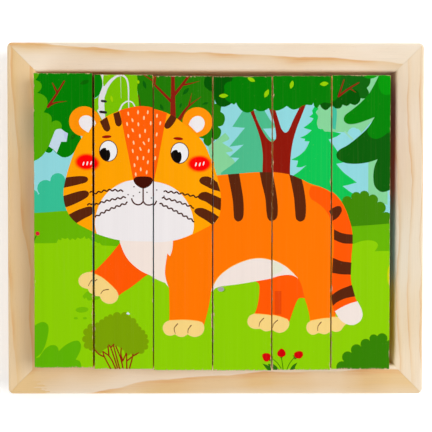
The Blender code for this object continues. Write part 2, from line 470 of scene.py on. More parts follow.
def close_tree(nodes, geometry, material):
    """Ends a tree in real geometry with its material."""
    geometry = nodes.add("GeometryNodeRealizeInstances", {}, {0: geometry})
    geometry = nodes.add("GeometryNodeSetMaterial", {}, {"Geometry": geometry, "Material": material})
    end = nodes.tree.nodes.new("NodeGroupOutput")
    nodes.tree.links.new(geometry.socket, end.inputs[0])
    return nodes.tree


def mitred_rail_tree():
    """Sweeps a rail's section from corner to corner: the outer corners round, the ends cut to the mitre."""
    nodes, given = geometry_tree(
        "mitred_rail",
        [
            ("Length", "Float", 0.1), ("Corner Round", "Float", 0.002), ("Mitre Gap", "Float", 0.0003),
            ("Steps", "Int", 6), ("Material", "Material", None),
        ],
    )
    section, length, corner, steps = given["Geometry"], given["Length"], given["Corner Round"], given["Steps"]
    step_in = given["Mitre Gap"] / math.sqrt(2)  # along the rail, from the corner's diagonal to this rail's end

    def swept(inset, height, turned, far):
        """Where a point of the section is when it has turned that share of the corner, at the near or far end."""
        radius = corner - inset
        lowest = (step_in / (radius.most(TINY) * math.sqrt(2))).arcsine()
        first = lowest + math.radians(225)
        angle = first + (math.radians(270) - first) * turned
        is_round = radius > step_in
        x = is_round * (corner + radius * angle.cos()) + (1 - is_round) * (inset + step_in)
        y = is_round * (corner + radius * angle.sin()) + (1 - is_round) * inset
        return nodes.vector(x + far * (length - x * 2), y, height)

    count = nodes.add("GeometryNodeAttributeDomainSize", {}, {0: section})
    last_ring = steps * 2 + 1
    skin = nodes.grid(count, last_ring)
    column, row, _ = nodes.parts(nodes.add("GeometryNodeInputPosition"))
    point = (column + count / 2).whole() % count
    ring = row + last_ring / 2
    sample = nodes.add(
        "GeometryNodeSampleIndex",
        {"data_type": "FLOAT_VECTOR"},
        {"Geometry": section, "Value": nodes.add("GeometryNodeInputPosition"), "Index": point},
    )
    _, inset, height = nodes.parts(sample)
    turned = ring.least(last_ring - ring) / steps
    place = swept(inset, height, turned, ring > steps + 0.5)
    skin = nodes.add("GeometryNodeSetPosition", {}, {"Geometry": skin, "Position": place})
    _, inset, height = nodes.parts(nodes.add("GeometryNodeInputPosition"))
    ends = [
        nodes.add("GeometryNodeSetPosition", {}, {"Geometry": section, "Position": swept(inset, height, 0.0, far)})
        for far in (0.0, 1.0)
    ]
    ends[0] = nodes.add("GeometryNodeFlipFaces", {}, {0: ends[0]})
    joined = nodes.add("GeometryNodeJoinGeometry")
    for piece in (skin, *ends):
        nodes.tree.links.new(piece.socket, joined.socket.node.inputs[0])
    joined = nodes.add("GeometryNodeMergeByDistance", {}, {"Geometry": joined, "Distance": TINY})
    return close_tree(nodes, joined, given["Material"])


def driven_pin_tree():
    """Puts a pin at each point of the geometry, pointing from that point's side of the tray to its middle."""
    nodes, given = geometry_tree(
        "driven_pins",
        [
            ("Head Radius", "Float", 0.001), ("Head Thickness", "Float", 0.0005), ("Shank Radius", "Float", 0.0006),
            ("Length", "Float", 0.014), ("Point", "Float", 0.001), ("Sides", "Int", 24), ("Material", "Material", None),
        ],
    )
    head, shank, length, sides = given["Head Radius"], given["Shank Radius"], given["Length"], given["Sides"]
    thick = given["Head Thickness"]
    outline = (
        (0.0, 0.0), (0.0, head * 0.82), (thick * 0.12, head * 0.95), (thick * 0.3, head), (thick, head), (thick, shank),
        (length - given["Point"], shank), (length, shank * 0.25), (length, 0.0),
    )
    last_ring = len(outline) - 1
    skin = nodes.grid(sides, last_ring)
    column, row, _ = nodes.parts(nodes.add("GeometryNodeInputPosition"))
    ring = (row + last_ring / 2).whole()
    angle = (column / sides) * (2 * math.pi)
    along, radius = (
        nodes.add(
            "GeometryNodeIndexSwitch",
            {"data_type": "FLOAT", "items": len(outline)},
            {0: ring, **{i + 1: value[part] for i, value in enumerate(outline)}},
        )
        for part in (0, 1)
    )
    place = nodes.vector(radius * angle.cos(), along, radius * angle.sin())
    pin = nodes.add("GeometryNodeSetPosition", {}, {"Geometry": skin, "Position": place})
    pin = nodes.add("GeometryNodeMergeByDistance", {}, {"Geometry": pin, "Distance": TINY})
    pin = nodes.add("GeometryNodeFlipFaces", {}, {0: pin})
    _, depth, _ = nodes.parts(nodes.add("GeometryNodeInputPosition"))
    turn = nodes.vector(0.0, 0.0, (depth > 0.0) * math.pi)
    copies = {"Points": given["Geometry"], "Instance": pin, "Rotation": turn}
    return close_tree(nodes, nodes.add("GeometryNodeInstanceOnPoints", {}, copies), given["Material"])


def grown(name, points, faces, tree, inputs):
    """The plain mesh that a tree makes from those points and faces, with the tree's inputs given by name."""
    seed = bpy.data.meshes.new(name + "_seed")
    seed.from_pydata(points, [], faces)
    obj = placed(name + "_seed", seed)
    modifier = obj.modifiers.new("grow", "NODES")
    modifier.node_group = tree
    identifiers = {item.name: item.identifier for item in tree.interface.items_tree if item.in_out == "INPUT"}
    for label, value in inputs.items():
        modifier[identifiers[label]] = value
    mesh = bpy.data.meshes.new_from_object(obj.evaluated_get(bpy.context.evaluated_depsgraph_get()))
    mesh.name = name
    bpy.data.objects.remove(obj)
    bpy.data.meshes.remove(seed)
    return mesh


def placed(name, mesh):
    """A new object with that mesh, at the origin."""
    obj = bpy.data.objects.new(name, mesh)
    bpy.context.scene.collection.objects.link(obj)
    return obj


def finish(obj, *modifiers):
    """Gives an object modifiers, each as (type, settings), and applies them to its mesh."""
    for kind, settings in modifiers:
        modifier = obj.modifiers.new(kind.lower(), kind)
        for name, value in settings.items():
            setattr(modifier, name, value)
    mesh = bpy.data.meshes.new_from_object(obj.evaluated_get(bpy.context.evaluated_depsgraph_get()))
    mesh.name = obj.name
    obj.modifiers.clear()
    obj.data = mesh


# ---- rails ----


def eased_edge(inset, height, radius, turn_from, steps):
    """Points of the clockwise quarter turn that rounds the corner at (inset, height)."""
    first = math.radians(turn_from)
    middle_x = inset - radius * (math.cos(first) + math.sin(first))
    middle_z = height - radius * (math.sin(first) - math.cos(first))
    turns = [first - step / steps * math.pi / 2 for step in range(steps + 1)]
    return [(middle_x + radius * math.cos(t), middle_z + radius * math.sin(t)) for t in turns]


def rail_section(tray):
    """Section of a rail as (inset from the tray's outer face, height), clockwise from the outer foot."""
    width, height, steps = tray.rail_width, tray.rail_height, tray.round_steps
    groove_back = width - tray.groove_depth
    return [
        *eased_edge(0, 0, tray.foot_round, 270, steps),
        *eased_edge(0, height, tray.top_round, 180, steps),
        *eased_edge(width, height, tray.top_round, 90, steps),
        (width, tray.groove_high),
        (groove_back, tray.groove_high),
        (groove_back, tray.groove_low),
        (width, tray.groove_low),
        *eased_edge(width, 0, tray.foot_round, 0, steps),
    ]


def pin_points():
    """Where each pin's head faces out of the near or far rail."""
    points = []
    for node in PIN_NODES:
        low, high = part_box(node)
        outer = low.y if "near" in node else high.y
        points.append(((low.x + high.x) / 2, outer, (low.z + high.z) / 2))
    return points


# ---- drawing in millimetres of the printed picture: x from its left edge, y from its near edge ----

CORNER = True  # third value of a point where an outline turns sharply
FINEST_STEP = 0.6  # shortest piece of a curve
BUMP_PIECES = 7  # pieces of each round bump
CAP_ANGLES = (0.7, 1.57, 2.44)  # the points of a line's round end


def blend(first, second, share):
    return tuple(a + (b - a) * share for a, b in zip(first, second))


def smooth(points, closed=True):
    """A curve through the points, turning sharply at those with a third value."""
    at = [np.array(p[:2], float) for p in points]
    sharp = [len(p) > 2 for p in points]
    count = len(at)
    outline = []
    for i in range(count if closed else count - 1):
        start, end = at[i], at[(i + 1) % count]
        before = at[i - 1] if closed or i else start
        after = at[(i + 2) % count] if closed or i + 2 < count else end
        chord = np.linalg.norm(end - start)
        back, on = np.linalg.norm(start - before), np.linalg.norm(after - end)
        leave = end - start if sharp[i] else (end - before) * chord / (chord + back)
        j = (i + 1) % count
        arrive = end - start if sharp[j] else (after - start) * chord / (chord + on)
        pieces = 1 if sharp[i] and sharp[j] else int(min(8, max(2, chord / FINEST_STEP)))
        for t in np.arange(pieces) / pieces:
            outline.append(
                (2 * t**3 - 3 * t**2 + 1) * start
                + (t**3 - 2 * t**2 + t) * leave
                + (3 * t**2 - 2 * t**3) * end
                + (t**3 - t**2) * arrive
            )
    return np.array(outline if closed else outline + [at[-1]])


def turned(outline, degrees, x, y):
    """An outline about its own middle, turned anticlockwise and moved to (x, y)."""
    lean = math.radians(degrees)
    spin = np.array([[math.cos(lean), math.sin(lean)], [-math.sin(lean), math.cos(lean)]])
    return outline @ spin + (x, y)


def oval(x, y, across, up, turn=0, sides=26):
    """An ellipse from its two half widths, turned anticlockwise by degrees."""
    angles = np.arange(sides) * 2 * np.pi / sides
    return turned(np.stack([across * np.cos(angles), up * np.sin(angles)], 1), turn, x, y)


def leaf(x, y, length, width, turn):
    """A pointed oval about its middle."""
    along = np.linspace(-1, 1, 9)
    rim = (1 - along**2) * width / 2
    lower, upper = (np.stack([along, edge / (length / 2)], 1) for edge in (-rim, rim))
    return turned(np.concatenate([lower, upper[-2:0:-1]]) * (length / 2), turn, x, y)


def bumpy(points, bulge=0.8):
    """A closed outline of round bumps, one from each point to the next. A third value keeps that side straight."""
    at = [np.array(p[:2], float) for p in points]
    area = sum(a[0] * b[1] - a[1] * b[0] for a, b in zip(at, at[1:] + at[:1]))
    outward = -1 if area > 0 else 1
    outline = []
    for i, start in enumerate(at):
        end = at[(i + 1) % len(at)]
        chord = end - start
        side = np.array([-chord[1], chord[0]]) / 2 * outward * bulge
        pieces = 1 if len(points[i]) > 2 else BUMP_PIECES
        for turn in math.pi * (np.arange(pieces) / pieces):
            outline.append(start + chord * (1 - math.cos(turn)) / 2 + side * math.sin(turn))
    return np.array(outline)


def heading(spine):
    """The unit steps along a line and square to it, at each of its points."""
    run = np.gradient(spine, axis=0)
    run /= np.linalg.norm(run, axis=1)[:, None] + 1e-12
    return run, np.stack([-run[:, 1], run[:, 0]], 1)


def ribbon(spine, widths):
    """The outline of a line with round ends, from the points of its middle and its width at each."""
    run, square = heading(spine)
    side = square * widths[:, None] / 2
    tip = run[-1] * widths[-1] / 2
    tail = run[0] * widths[0] / 2
    caps = [
        [middle + edge * math.cos(t) + out * math.sin(t) for t in CAP_ANGLES]
        for middle, edge, out in ((spine[-1], side[-1], tip), (spine[0], -side[0], -tail))
    ]
    return np.concatenate([spine + side, caps[0], (spine - side)[::-1], caps[1]])


def line(points, width, end_width=None):
    """A curved line that may taper."""
    spine = smooth(points, closed=False)
    return ribbon(spine, np.linspace(width, width if end_width is None else end_width, len(spine)))


def wavy_line(points, width, height=0.26, wave=1.9):
    """A line that ripples about a curve."""
    spine = smooth(points, closed=False)
    steps = np.r_[0, np.cumsum(np.linalg.norm(np.diff(spine, axis=0), axis=1))]
    along = np.arange(0, steps[-1], wave / 8)
    middle = np.stack([np.interp(along, steps, spine[:, k]) for k in (0, 1)], 1)
    ripple = height * np.sin(2 * np.pi * along / wave)
    middle += heading(middle)[1] * ripple[:, None]
    return ribbon(middle, np.full(len(middle), width))


class Page:
    """A printed picture: its shapes in the order they are laid down, each an outline with a colour."""

    def __init__(self, width, height, ink):
        self.width, self.ink = width, ink
        self.shapes = []
        self.box(ink.sky[:], -1, -1, width + 1, height + 1)

    def fill(self, colour, *outlines, within=None):
        """Lays a colour inside each outline, and only where it is also within another."""
        self.shapes += [(np.asarray(outline, float), colour, within) for outline in outlines]

    def box(self, colour, left, low, right, high):
        self.fill(colour, [(left, low), (right, low), (right, high), (left, high)])

    def soft_oval(self, colour, under, x, y, across, up, softness=0.22, rings=9):
        """An oval whose colour fades out into what is under it."""
        for ring in range(rings):
            share = (ring + 1) / (rings + 1)
            reach = 1 + softness * (1 - 2 * share)
            self.fill(blend(under, colour, share * share * (3 - 2 * share)), oval(x, y, across * reach, up * reach))
        self.fill(colour, oval(x, y, across * (1 - softness), up * (1 - softness)))

    def toes(self, colour, *arcs):
        for arc in arcs:
            self.fill(colour, line(arc, 0.2, 0.36))


def tiger_forest(page):
    """Trees, sky and ground behind the tiger, from the back to the front."""
    dark, deep, leafy, trunk = rgb(2, 124, 2), rgb(2, 84, 2), rgb(80, 167, 2), rgb(138, 30, 14)
    lime, teal, pale, moss = rgb(122, 193, 2), rgb(54, 190, 148), rgb(134, 209, 152), rgb(32, 121, 4)
    # left: distant bush, dark crown, light bush, twig
    page.fill(teal, bumpy([(-2, 59), (1.4, 58.6), (2.4, 58.7), (5.6, 63.4), (10.6, 64, CORNER), (14, 50, CORNER),
        (-2, 50, CORNER)], 1.0))
    page.fill(dark, smooth([(-1, 101, CORNER), (21.6, 101, CORNER), (22.5, 98), (22.6, 95.5), (21.4, 92.9),
        (19.8, 91.6), (22, 84, CORNER), (15.8, 78.8, CORNER), (16.2, 77), (15, 75.4, CORNER), (14.5, 74.9, CORNER),
        (13.4, 73), (11.6, 71.7), (9.6, 71.6), (7.9, 72.7), (6.5, 74.1, CORNER), (6, 73.3), (5, 73), (4, 73.5),
        (3.7, 75.2, CORNER), (-1, 75, CORNER)]))
    page.fill(leafy, smooth([(-1, 101, CORNER), (2, 101, CORNER), (1.9, 99.6), (1.2, 98.3), (0.6, 97.6, CORNER),
        (2.1, 97), (2.8, 95.8), (2.4, 94.3), (1.2, 93.3, CORNER), (3.2, 92.6), (4.6, 91), (4.6, 88.8),
        (3.4, 86.7, CORNER), (5, 86.3), (6.1, 85), (6, 83.3, CORNER), (7.4, 84), (8.9, 83.5), (9.5, 82.3),
        (9.3, 80.6, CORNER), (6.8, 79, CORNER), (5.2, 75.6), (3.4, 72.6), (1.6, 71), (-1, 69.8, CORNER)]))
    page.fill(rgb(8, 102, 2), leaf(17.3, 96.9, 3.4, 1.5, 20), leaf(13.3, 78.4, 2.6, 1.3, 45))
    page.fill(trunk, line([(4.9, 88.6), (7.6, 92.6), (10.4, 97.2)], 0.9, 0.55), line([(7.9, 93.6), (6.4, 96.6)],
        0.75, 0.3), line([(4.9, 88.8), (7.2, 89.9), (11.2, 90.5)], 0.85, 0.08))
    page.fill(rgb(196, 216, 230), smooth([(5.1, 75.2, CORNER), (7, 80, CORNER), (7.6, 80.9), (9.4, 81.1),
        (10.1, 80.5), (11.6, 79.6, CORNER), (11.1, 76.8, CORNER), (9.3, 76.8, CORNER), (7.8, 73, CORNER),
        (6.5, 74.3, CORNER)]))
    page.fill(rgb(190, 202, 232), smooth([(10.2, 80.3, CORNER), (11.6, 79.6, CORNER), (11.2, 77.4, CORNER),
        (10.3, 78.4)]))
    # birch on light green
    page.fill(lime, smooth([(19.8, 91.6, CORNER), (21.5, 92.9), (22.6, 95.4), (22.5, 98), (21.6, 101, CORNER),
        (34.1, 101, CORNER), (34.6, 97.6), (34.4, 95.4), (34.8, 92.4), (35.2, 88, CORNER), (19.8, 82, CORNER)]))
    page.fill(moss, smooth([(34.1, 101, CORNER), (34.6, 97.6), (34.4, 95.4), (34.8, 92.4), (35.2, 84, CORNER),
        (60, 78, CORNER), (60, 101, CORNER)]))
    page.fill(rgb(158, 206, 2), oval(34.8, 97.5, 0.35, 0.6), leaf(25.8, 91.8, 2.3, 0.9, 100),
        leaf(24.9, 99.9, 1.6, 0.7, 90))
    birch = rgb(222, 220, 222)
    page.fill(birch, smooth([(21.7, 101, CORNER), (22.6, 98.4), (22.6, 95.8), (21.5, 92.6), (21.3, 90),
        (21.4, 88.4), (20.8, 87.9, CORNER), (22.6, 84.6, CORNER), (23.7, 84.8, CORNER), (23.4, 88), (23.4, 92.2),
        (24.1, 94.2), (23.8, 95.7), (23, 96.2), (22.9, 98.4), (23.2, 101, CORNER)]))
    page.fill(birch, line([(22.9, 93.6), (24, 95.8), (25.7, 98), (27.4, 99.4)], 1.7, 0.7), line([(27.2, 99.3),
        (29.3, 99.8), (30.8, 98.6), (31.4, 96), (31.5, 92), (31.6, 88)], 0.7, 0.3), line([(28.3, 87.4),
        (29.4, 89.8), (31.2, 91), (32.8, 90.6), (33.8, 88.8)], 0.6, 0.36))
    page.fill(rgb(192, 208, 160), line([(28.8, 99.6), (29, 92)], 0.28, 0.12))
    page.fill(rgb(44, 40, 42), line([(22.5, 91.1), (23.8, 90.9)], 0.8), line([(22.0, 87.4), (23.8, 87.2)], 0.9))
    # red tree on dark green, with darker leaves
    page.fill(rgb(10, 96, 8), leaf(42.4, 89.4, 2.4, 1, -65), leaf(50.6, 94.8, 3.2, 1.2, 48),
        leaf(57, 90.4, 2.8, 1.2, 30), leaf(36.9, 96.6, 3, 1.1, -72), leaf(42.8, 100.2, 2, 1, 30),
        leaf(48.8, 90, 1.8, 0.8, 70))
    page.fill(trunk, smooth([(45.6, 101, CORNER), (45.5, 94), (45.3, 89), (45.3, 84, CORNER), (47.3, 84, CORNER),
        (47.1, 89), (46.9, 95), (46.8, 101, CORNER)]), line([(46.5, 93.4), (49.3, 96.9), (52.2, 100.8)], 1.1, 0.8),
        line([(50, 97), (52.6, 97.5), (55.3, 98.3)], 0.7, 0.08), line([(45.6, 91.4), (42.6, 94.4), (39.8, 97.2)],
        1.0, 0.7), line([(39.9, 97), (40.4, 101)], 0.8, 0.6), line([(39.6, 98), (36.2, 100.2)], 0.5, 0.3),
        line([(48.4, 85.4), (51.2, 89.4), (55.8, 93)], 1.3, 0.08), line([(51.6, 90), (52.6, 94.2)], 0.6, 0.1))
    page.fill(rgb(92, 58, 20), line([(34.9, 93), (35.6, 89)], 0.45, 0.3))
    # middle distance
    page.fill(moss, smooth([(54, 90, CORNER), (63, 91, CORNER), (62.2, 89.4, CORNER), (62, 88, CORNER), (63.2, 87),
        (63.5, 85.2), (62.7, 83.4), (61.1, 83, CORNER), (62.2, 81.8), (61.9, 79.8), (60.7, 78.6),
        (59.5, 78.6, CORNER), (59.6, 76.4), (58.2, 76.2), (56.8, 77.2), (56.6, 78.8), (58.6, 81, CORNER)]))
    page.fill(pale, smooth([(58.2, 76.2, CORNER), (60.4, 78.2, CORNER), (63.6, 80.9, CORNER), (65, 78.9),
        (62.6, 77.5, CORNER), (66.2, 74.9), (63.8, 74.2, CORNER), (66.9, 70.8), (64, 68, CORNER),
        (60, 64, CORNER)]))
    fir = [(69.6, 88.4, CORNER), (66, 82.9, CORNER), (70.3, 82.6, CORNER), (65, 76.2, CORNER), (69.9, 76.9, CORNER),
        (65, 72.6, CORNER), (68.4, 72.4, CORNER), (66.6, 70.6), (62.2, 67.4, CORNER), (62.4, 65, CORNER)]
    page.fill(rgb(76, 186, 138), smooth(fir + [(84, 65, CORNER), (80, 72, CORNER), (81, 78), (79.3, 78.7),
        (76.4, 82.3, CORNER), (81, 82.5, CORNER), (79, 85), (76.8, 88.6, CORNER)]))
    page.fill(pale, bumpy([(94.2, 90.2), (94.6, 88), (94.2, 86), (94.6, 83.6), (95.8, 82.2), (97.2, 81.2),
        (99.4, 80.8, CORNER), (104.6, 80.6, CORNER), (108.5, 79.6, CORNER), (116, 88, CORNER), (116, 101, CORNER),
        (104, 101, CORNER), (99, 91, CORNER)], 0.5))
    page.fill(page.ink.sky, bumpy([(104.8, 80.2), (105.6, 81.8), (107.4, 81.8), (109, 80, CORNER),
        (106, 77.6, CORNER)], 0.5))
    page.fill(rgb(152, 214, 178), line([(103.6, 80.8), (106.2, 78.2)], 0.55))
    page.fill(pale, [(111.6, 71.5), (111.6, 58), (118.2, 56), (118.2, 71.5)])
    page.fill(rgb(12, 194, 82), smooth([(94, 90.4, CORNER), (92.7, 88.2, CORNER), (93, 87.2, CORNER),
        (91.8, 86.1, CORNER), (93.2, 85.6, CORNER), (92.4, 84.4), (89.8, 82.4, CORNER), (92.6, 81.6, CORNER),
        (91, 80.2), (88.6, 79, CORNER), (90.4, 78.7, CORNER), (90.2, 77.9, CORNER), (91.9, 77.8, CORNER),
        (90.6, 75.2), (88.6, 73.2), (85.7, 71.6, CORNER), (88, 71.3, CORNER), (87.8, 70.2), (87.4, 69.2, CORNER),
        (88.8, 69), (90.8, 69.7, CORNER), (88.6, 67.8), (86, 66, CORNER), (92, 60, CORNER), (104, 55, CORNER),
        (106.6, 59.8, CORNER), (105.2, 60.6), (102.9, 62.4, CORNER), (104.4, 62.7), (107.7, 63.6, CORNER),
        (105.6, 65.2), (103, 67.2), (100.7, 69.9, CORNER), (104, 70.6, CORNER), (102, 73), (99.6, 76.4),
        (98.4, 78.5, CORNER), (100.4, 79), (102.3, 80.2, CORNER), (99.8, 80.8), (98, 81.2, CORNER), (97, 81.2),
        (96.4, 82, CORNER), (95, 82.2), (94.4, 84.2), (94.8, 86.4), (94, 87.6), (94.9, 88.8, CORNER)]))
    page.fill(rgb(64, 188, 156), smooth([(99.3, 89.6, CORNER), (100.6, 88.8), (100.8, 86), (100.4, 81.4, CORNER),
        (99.3, 82, CORNER)]))
    page.fill(rgb(142, 22, 8), smooth([(76.1, 64, CORNER), (76.3, 70), (76.3, 74), (75.6, 78.4), (74, 83.4),
        (71.9, 88.4, CORNER), (73.2, 88.6, CORNER), (74.6, 84.8), (76.6, 80.9), (78.2, 78.6), (79.5, 77.8),
        (80.5, 78.8), (80.3, 82), (79.4, 86), (78.4, 89.2, CORNER), (80.2, 88.8, CORNER), (81.4, 84.9), (82.4, 82),
        (83.6, 80.7), (84.7, 81.4), (86.6, 85.6), (89.2, 90.6, CORNER), (90.7, 90.4, CORNER), (89.2, 86.6),
        (87.2, 81.2), (86, 76.4), (85.4, 71), (85.3, 64, CORNER)]))
    # crowns along the top
    page.fill(deep, smooth([(58, 101, CORNER), (56.8, 98.6), (57, 96.4), (58.6, 95, CORNER), (59.8, 94.6, CORNER),
        (60.2, 91.4), (61.6, 90), (63.4, 89.7), (65.4, 90.6), (68, 93, CORNER), (68, 101, CORNER)]))
    page.fill(deep, smooth([(95.2, 91, CORNER), (95.8, 89.4), (97.4, 88.4), (99.2, 89.8, CORNER), (100.4, 88.7),
        (102, 88.8), (102.8, 90, CORNER), (104.2, 89.5), (105.4, 90.3, CORNER), (107, 89.8), (108.4, 90.8),
        (109, 92.8), (108.4, 95.2), (104, 96.4, CORNER)]))
    page.fill(rgb(14, 100, 12), smooth([(100, 101, CORNER), (111.6, 101, CORNER), (112.2, 98.8), (111.9, 96.8),
        (110.9, 95.6, CORNER), (111.7, 94.2), (111.2, 92.5), (109.6, 92), (108.6, 92.4, CORNER), (108, 94.4),
        (106, 95), (103.4, 93.4), (101.4, 93.2, CORNER)]))
    page.fill(dark, smooth([(66.2, 101, CORNER), (65.8, 98.4), (64.4, 98), (63.2, 96.8), (63.4, 95.2, CORNER),
        (63.1, 93.6), (63.9, 92), (65.4, 91.1, CORNER), (66.6, 90.4, CORNER), (67.3, 91.1, CORNER), (67.8, 90),
        (69.2, 88.4), (71, 87.7), (72.8, 88.2), (73.5, 88.9, CORNER), (75.2, 88.2), (77, 88.4),
        (78.2, 89.2, CORNER), (80.6, 88.2), (82.8, 88.9), (84.1, 89.8, CORNER), (86.2, 88.6), (88.2, 89),
        (89.4, 89.9, CORNER), (91, 90.2), (92.6, 90.1), (93.2, 90.9, CORNER), (93.4, 89.8), (94.4, 89.1),
        (95.2, 90.1, CORNER), (96.6, 91), (99, 90.8), (100.8, 92), (101, 94), (101.8, 95.8), (101.9, 98),
        (102.4, 101, CORNER)]))
    page.fill(trunk, line([(101.4, 92.8), (104.6, 95.2), (108.2, 97.4)], 0.75, 0.45), line([(101.4, 92.9),
        (103.2, 98.3)], 0.6, 0.4), line([(105, 95.6), (107.2, 94.2)], 0.45, 0.2))
    page.fill(rgb(150, 205, 2), leaf(63, 93.4, 3.2, 1.4, 3), leaf(72.4, 98.9, 2.9, 1.3, -26),
        leaf(77.6, 94.2, 3.1, 1.4, 64), leaf(85.8, 97, 2.9, 1.3, 76), leaf(96.8, 97.3, 3, 1.5, 6))
    # leafy branches at the right
    bough = rgb(2, 130, 4)
    page.fill(rgb(2, 150, 4), smooth([(108.8, 101, CORNER), (110.6, 99), (113, 98.9), (115.6, 100.2, CORNER),
        (116, 101, CORNER)]))
    page.fill(rgb(8, 92, 6), smooth([(113.8, 86, CORNER), (111.4, 82.2), (107.8, 78.8), (104.4, 76.2),
        (101.6, 74.6), (100.7, 73.2), (101.2, 71.6), (104, 70.2), (108.4, 70), (112, 70.6), (114.7, 71.5, CORNER),
        (113.7, 69), (113.3, 65.4), (113.8, 62.4), (115.6, 60.6), (117.4, 60.5), (120, 61.6, CORNER),
        (120, 86, CORNER)]))
    page.fill(bough, smooth([(120, 101, CORNER), (115.6, 101, CORNER), (113.8, 97.4), (111.6, 93.6), (108.6, 90.4),
        (105.4, 87.8), (103.5, 86.2), (103.2, 84.6), (104.4, 83.5), (107, 83.5), (110.6, 84.6), (114, 85.9, CORNER),
        (112, 83, CORNER), (111.2, 81), (112, 79.2), (114.2, 78.4), (116.6, 79.3), (118, 80.4), (120, 81, CORNER)]))
    page.fill(rgb(2, 152, 6), smooth([(115.4, 101, CORNER), (114.9, 98), (115.2, 95.4), (116.4, 93.6), (118, 93.3),
        (120, 94, CORNER), (120, 101, CORNER)]))
    page.fill(rgb(64, 135, 2), bumpy([(101, 56.4), (102.8, 57), (106, 58), (108.8, 59.8), (111.9, 59),
        (114.7, 56.9), (116.8, 53.4), (118.8, 50.4), (120, 49, CORNER), (120, 44, CORNER), (100, 44, CORNER)], 0.9))


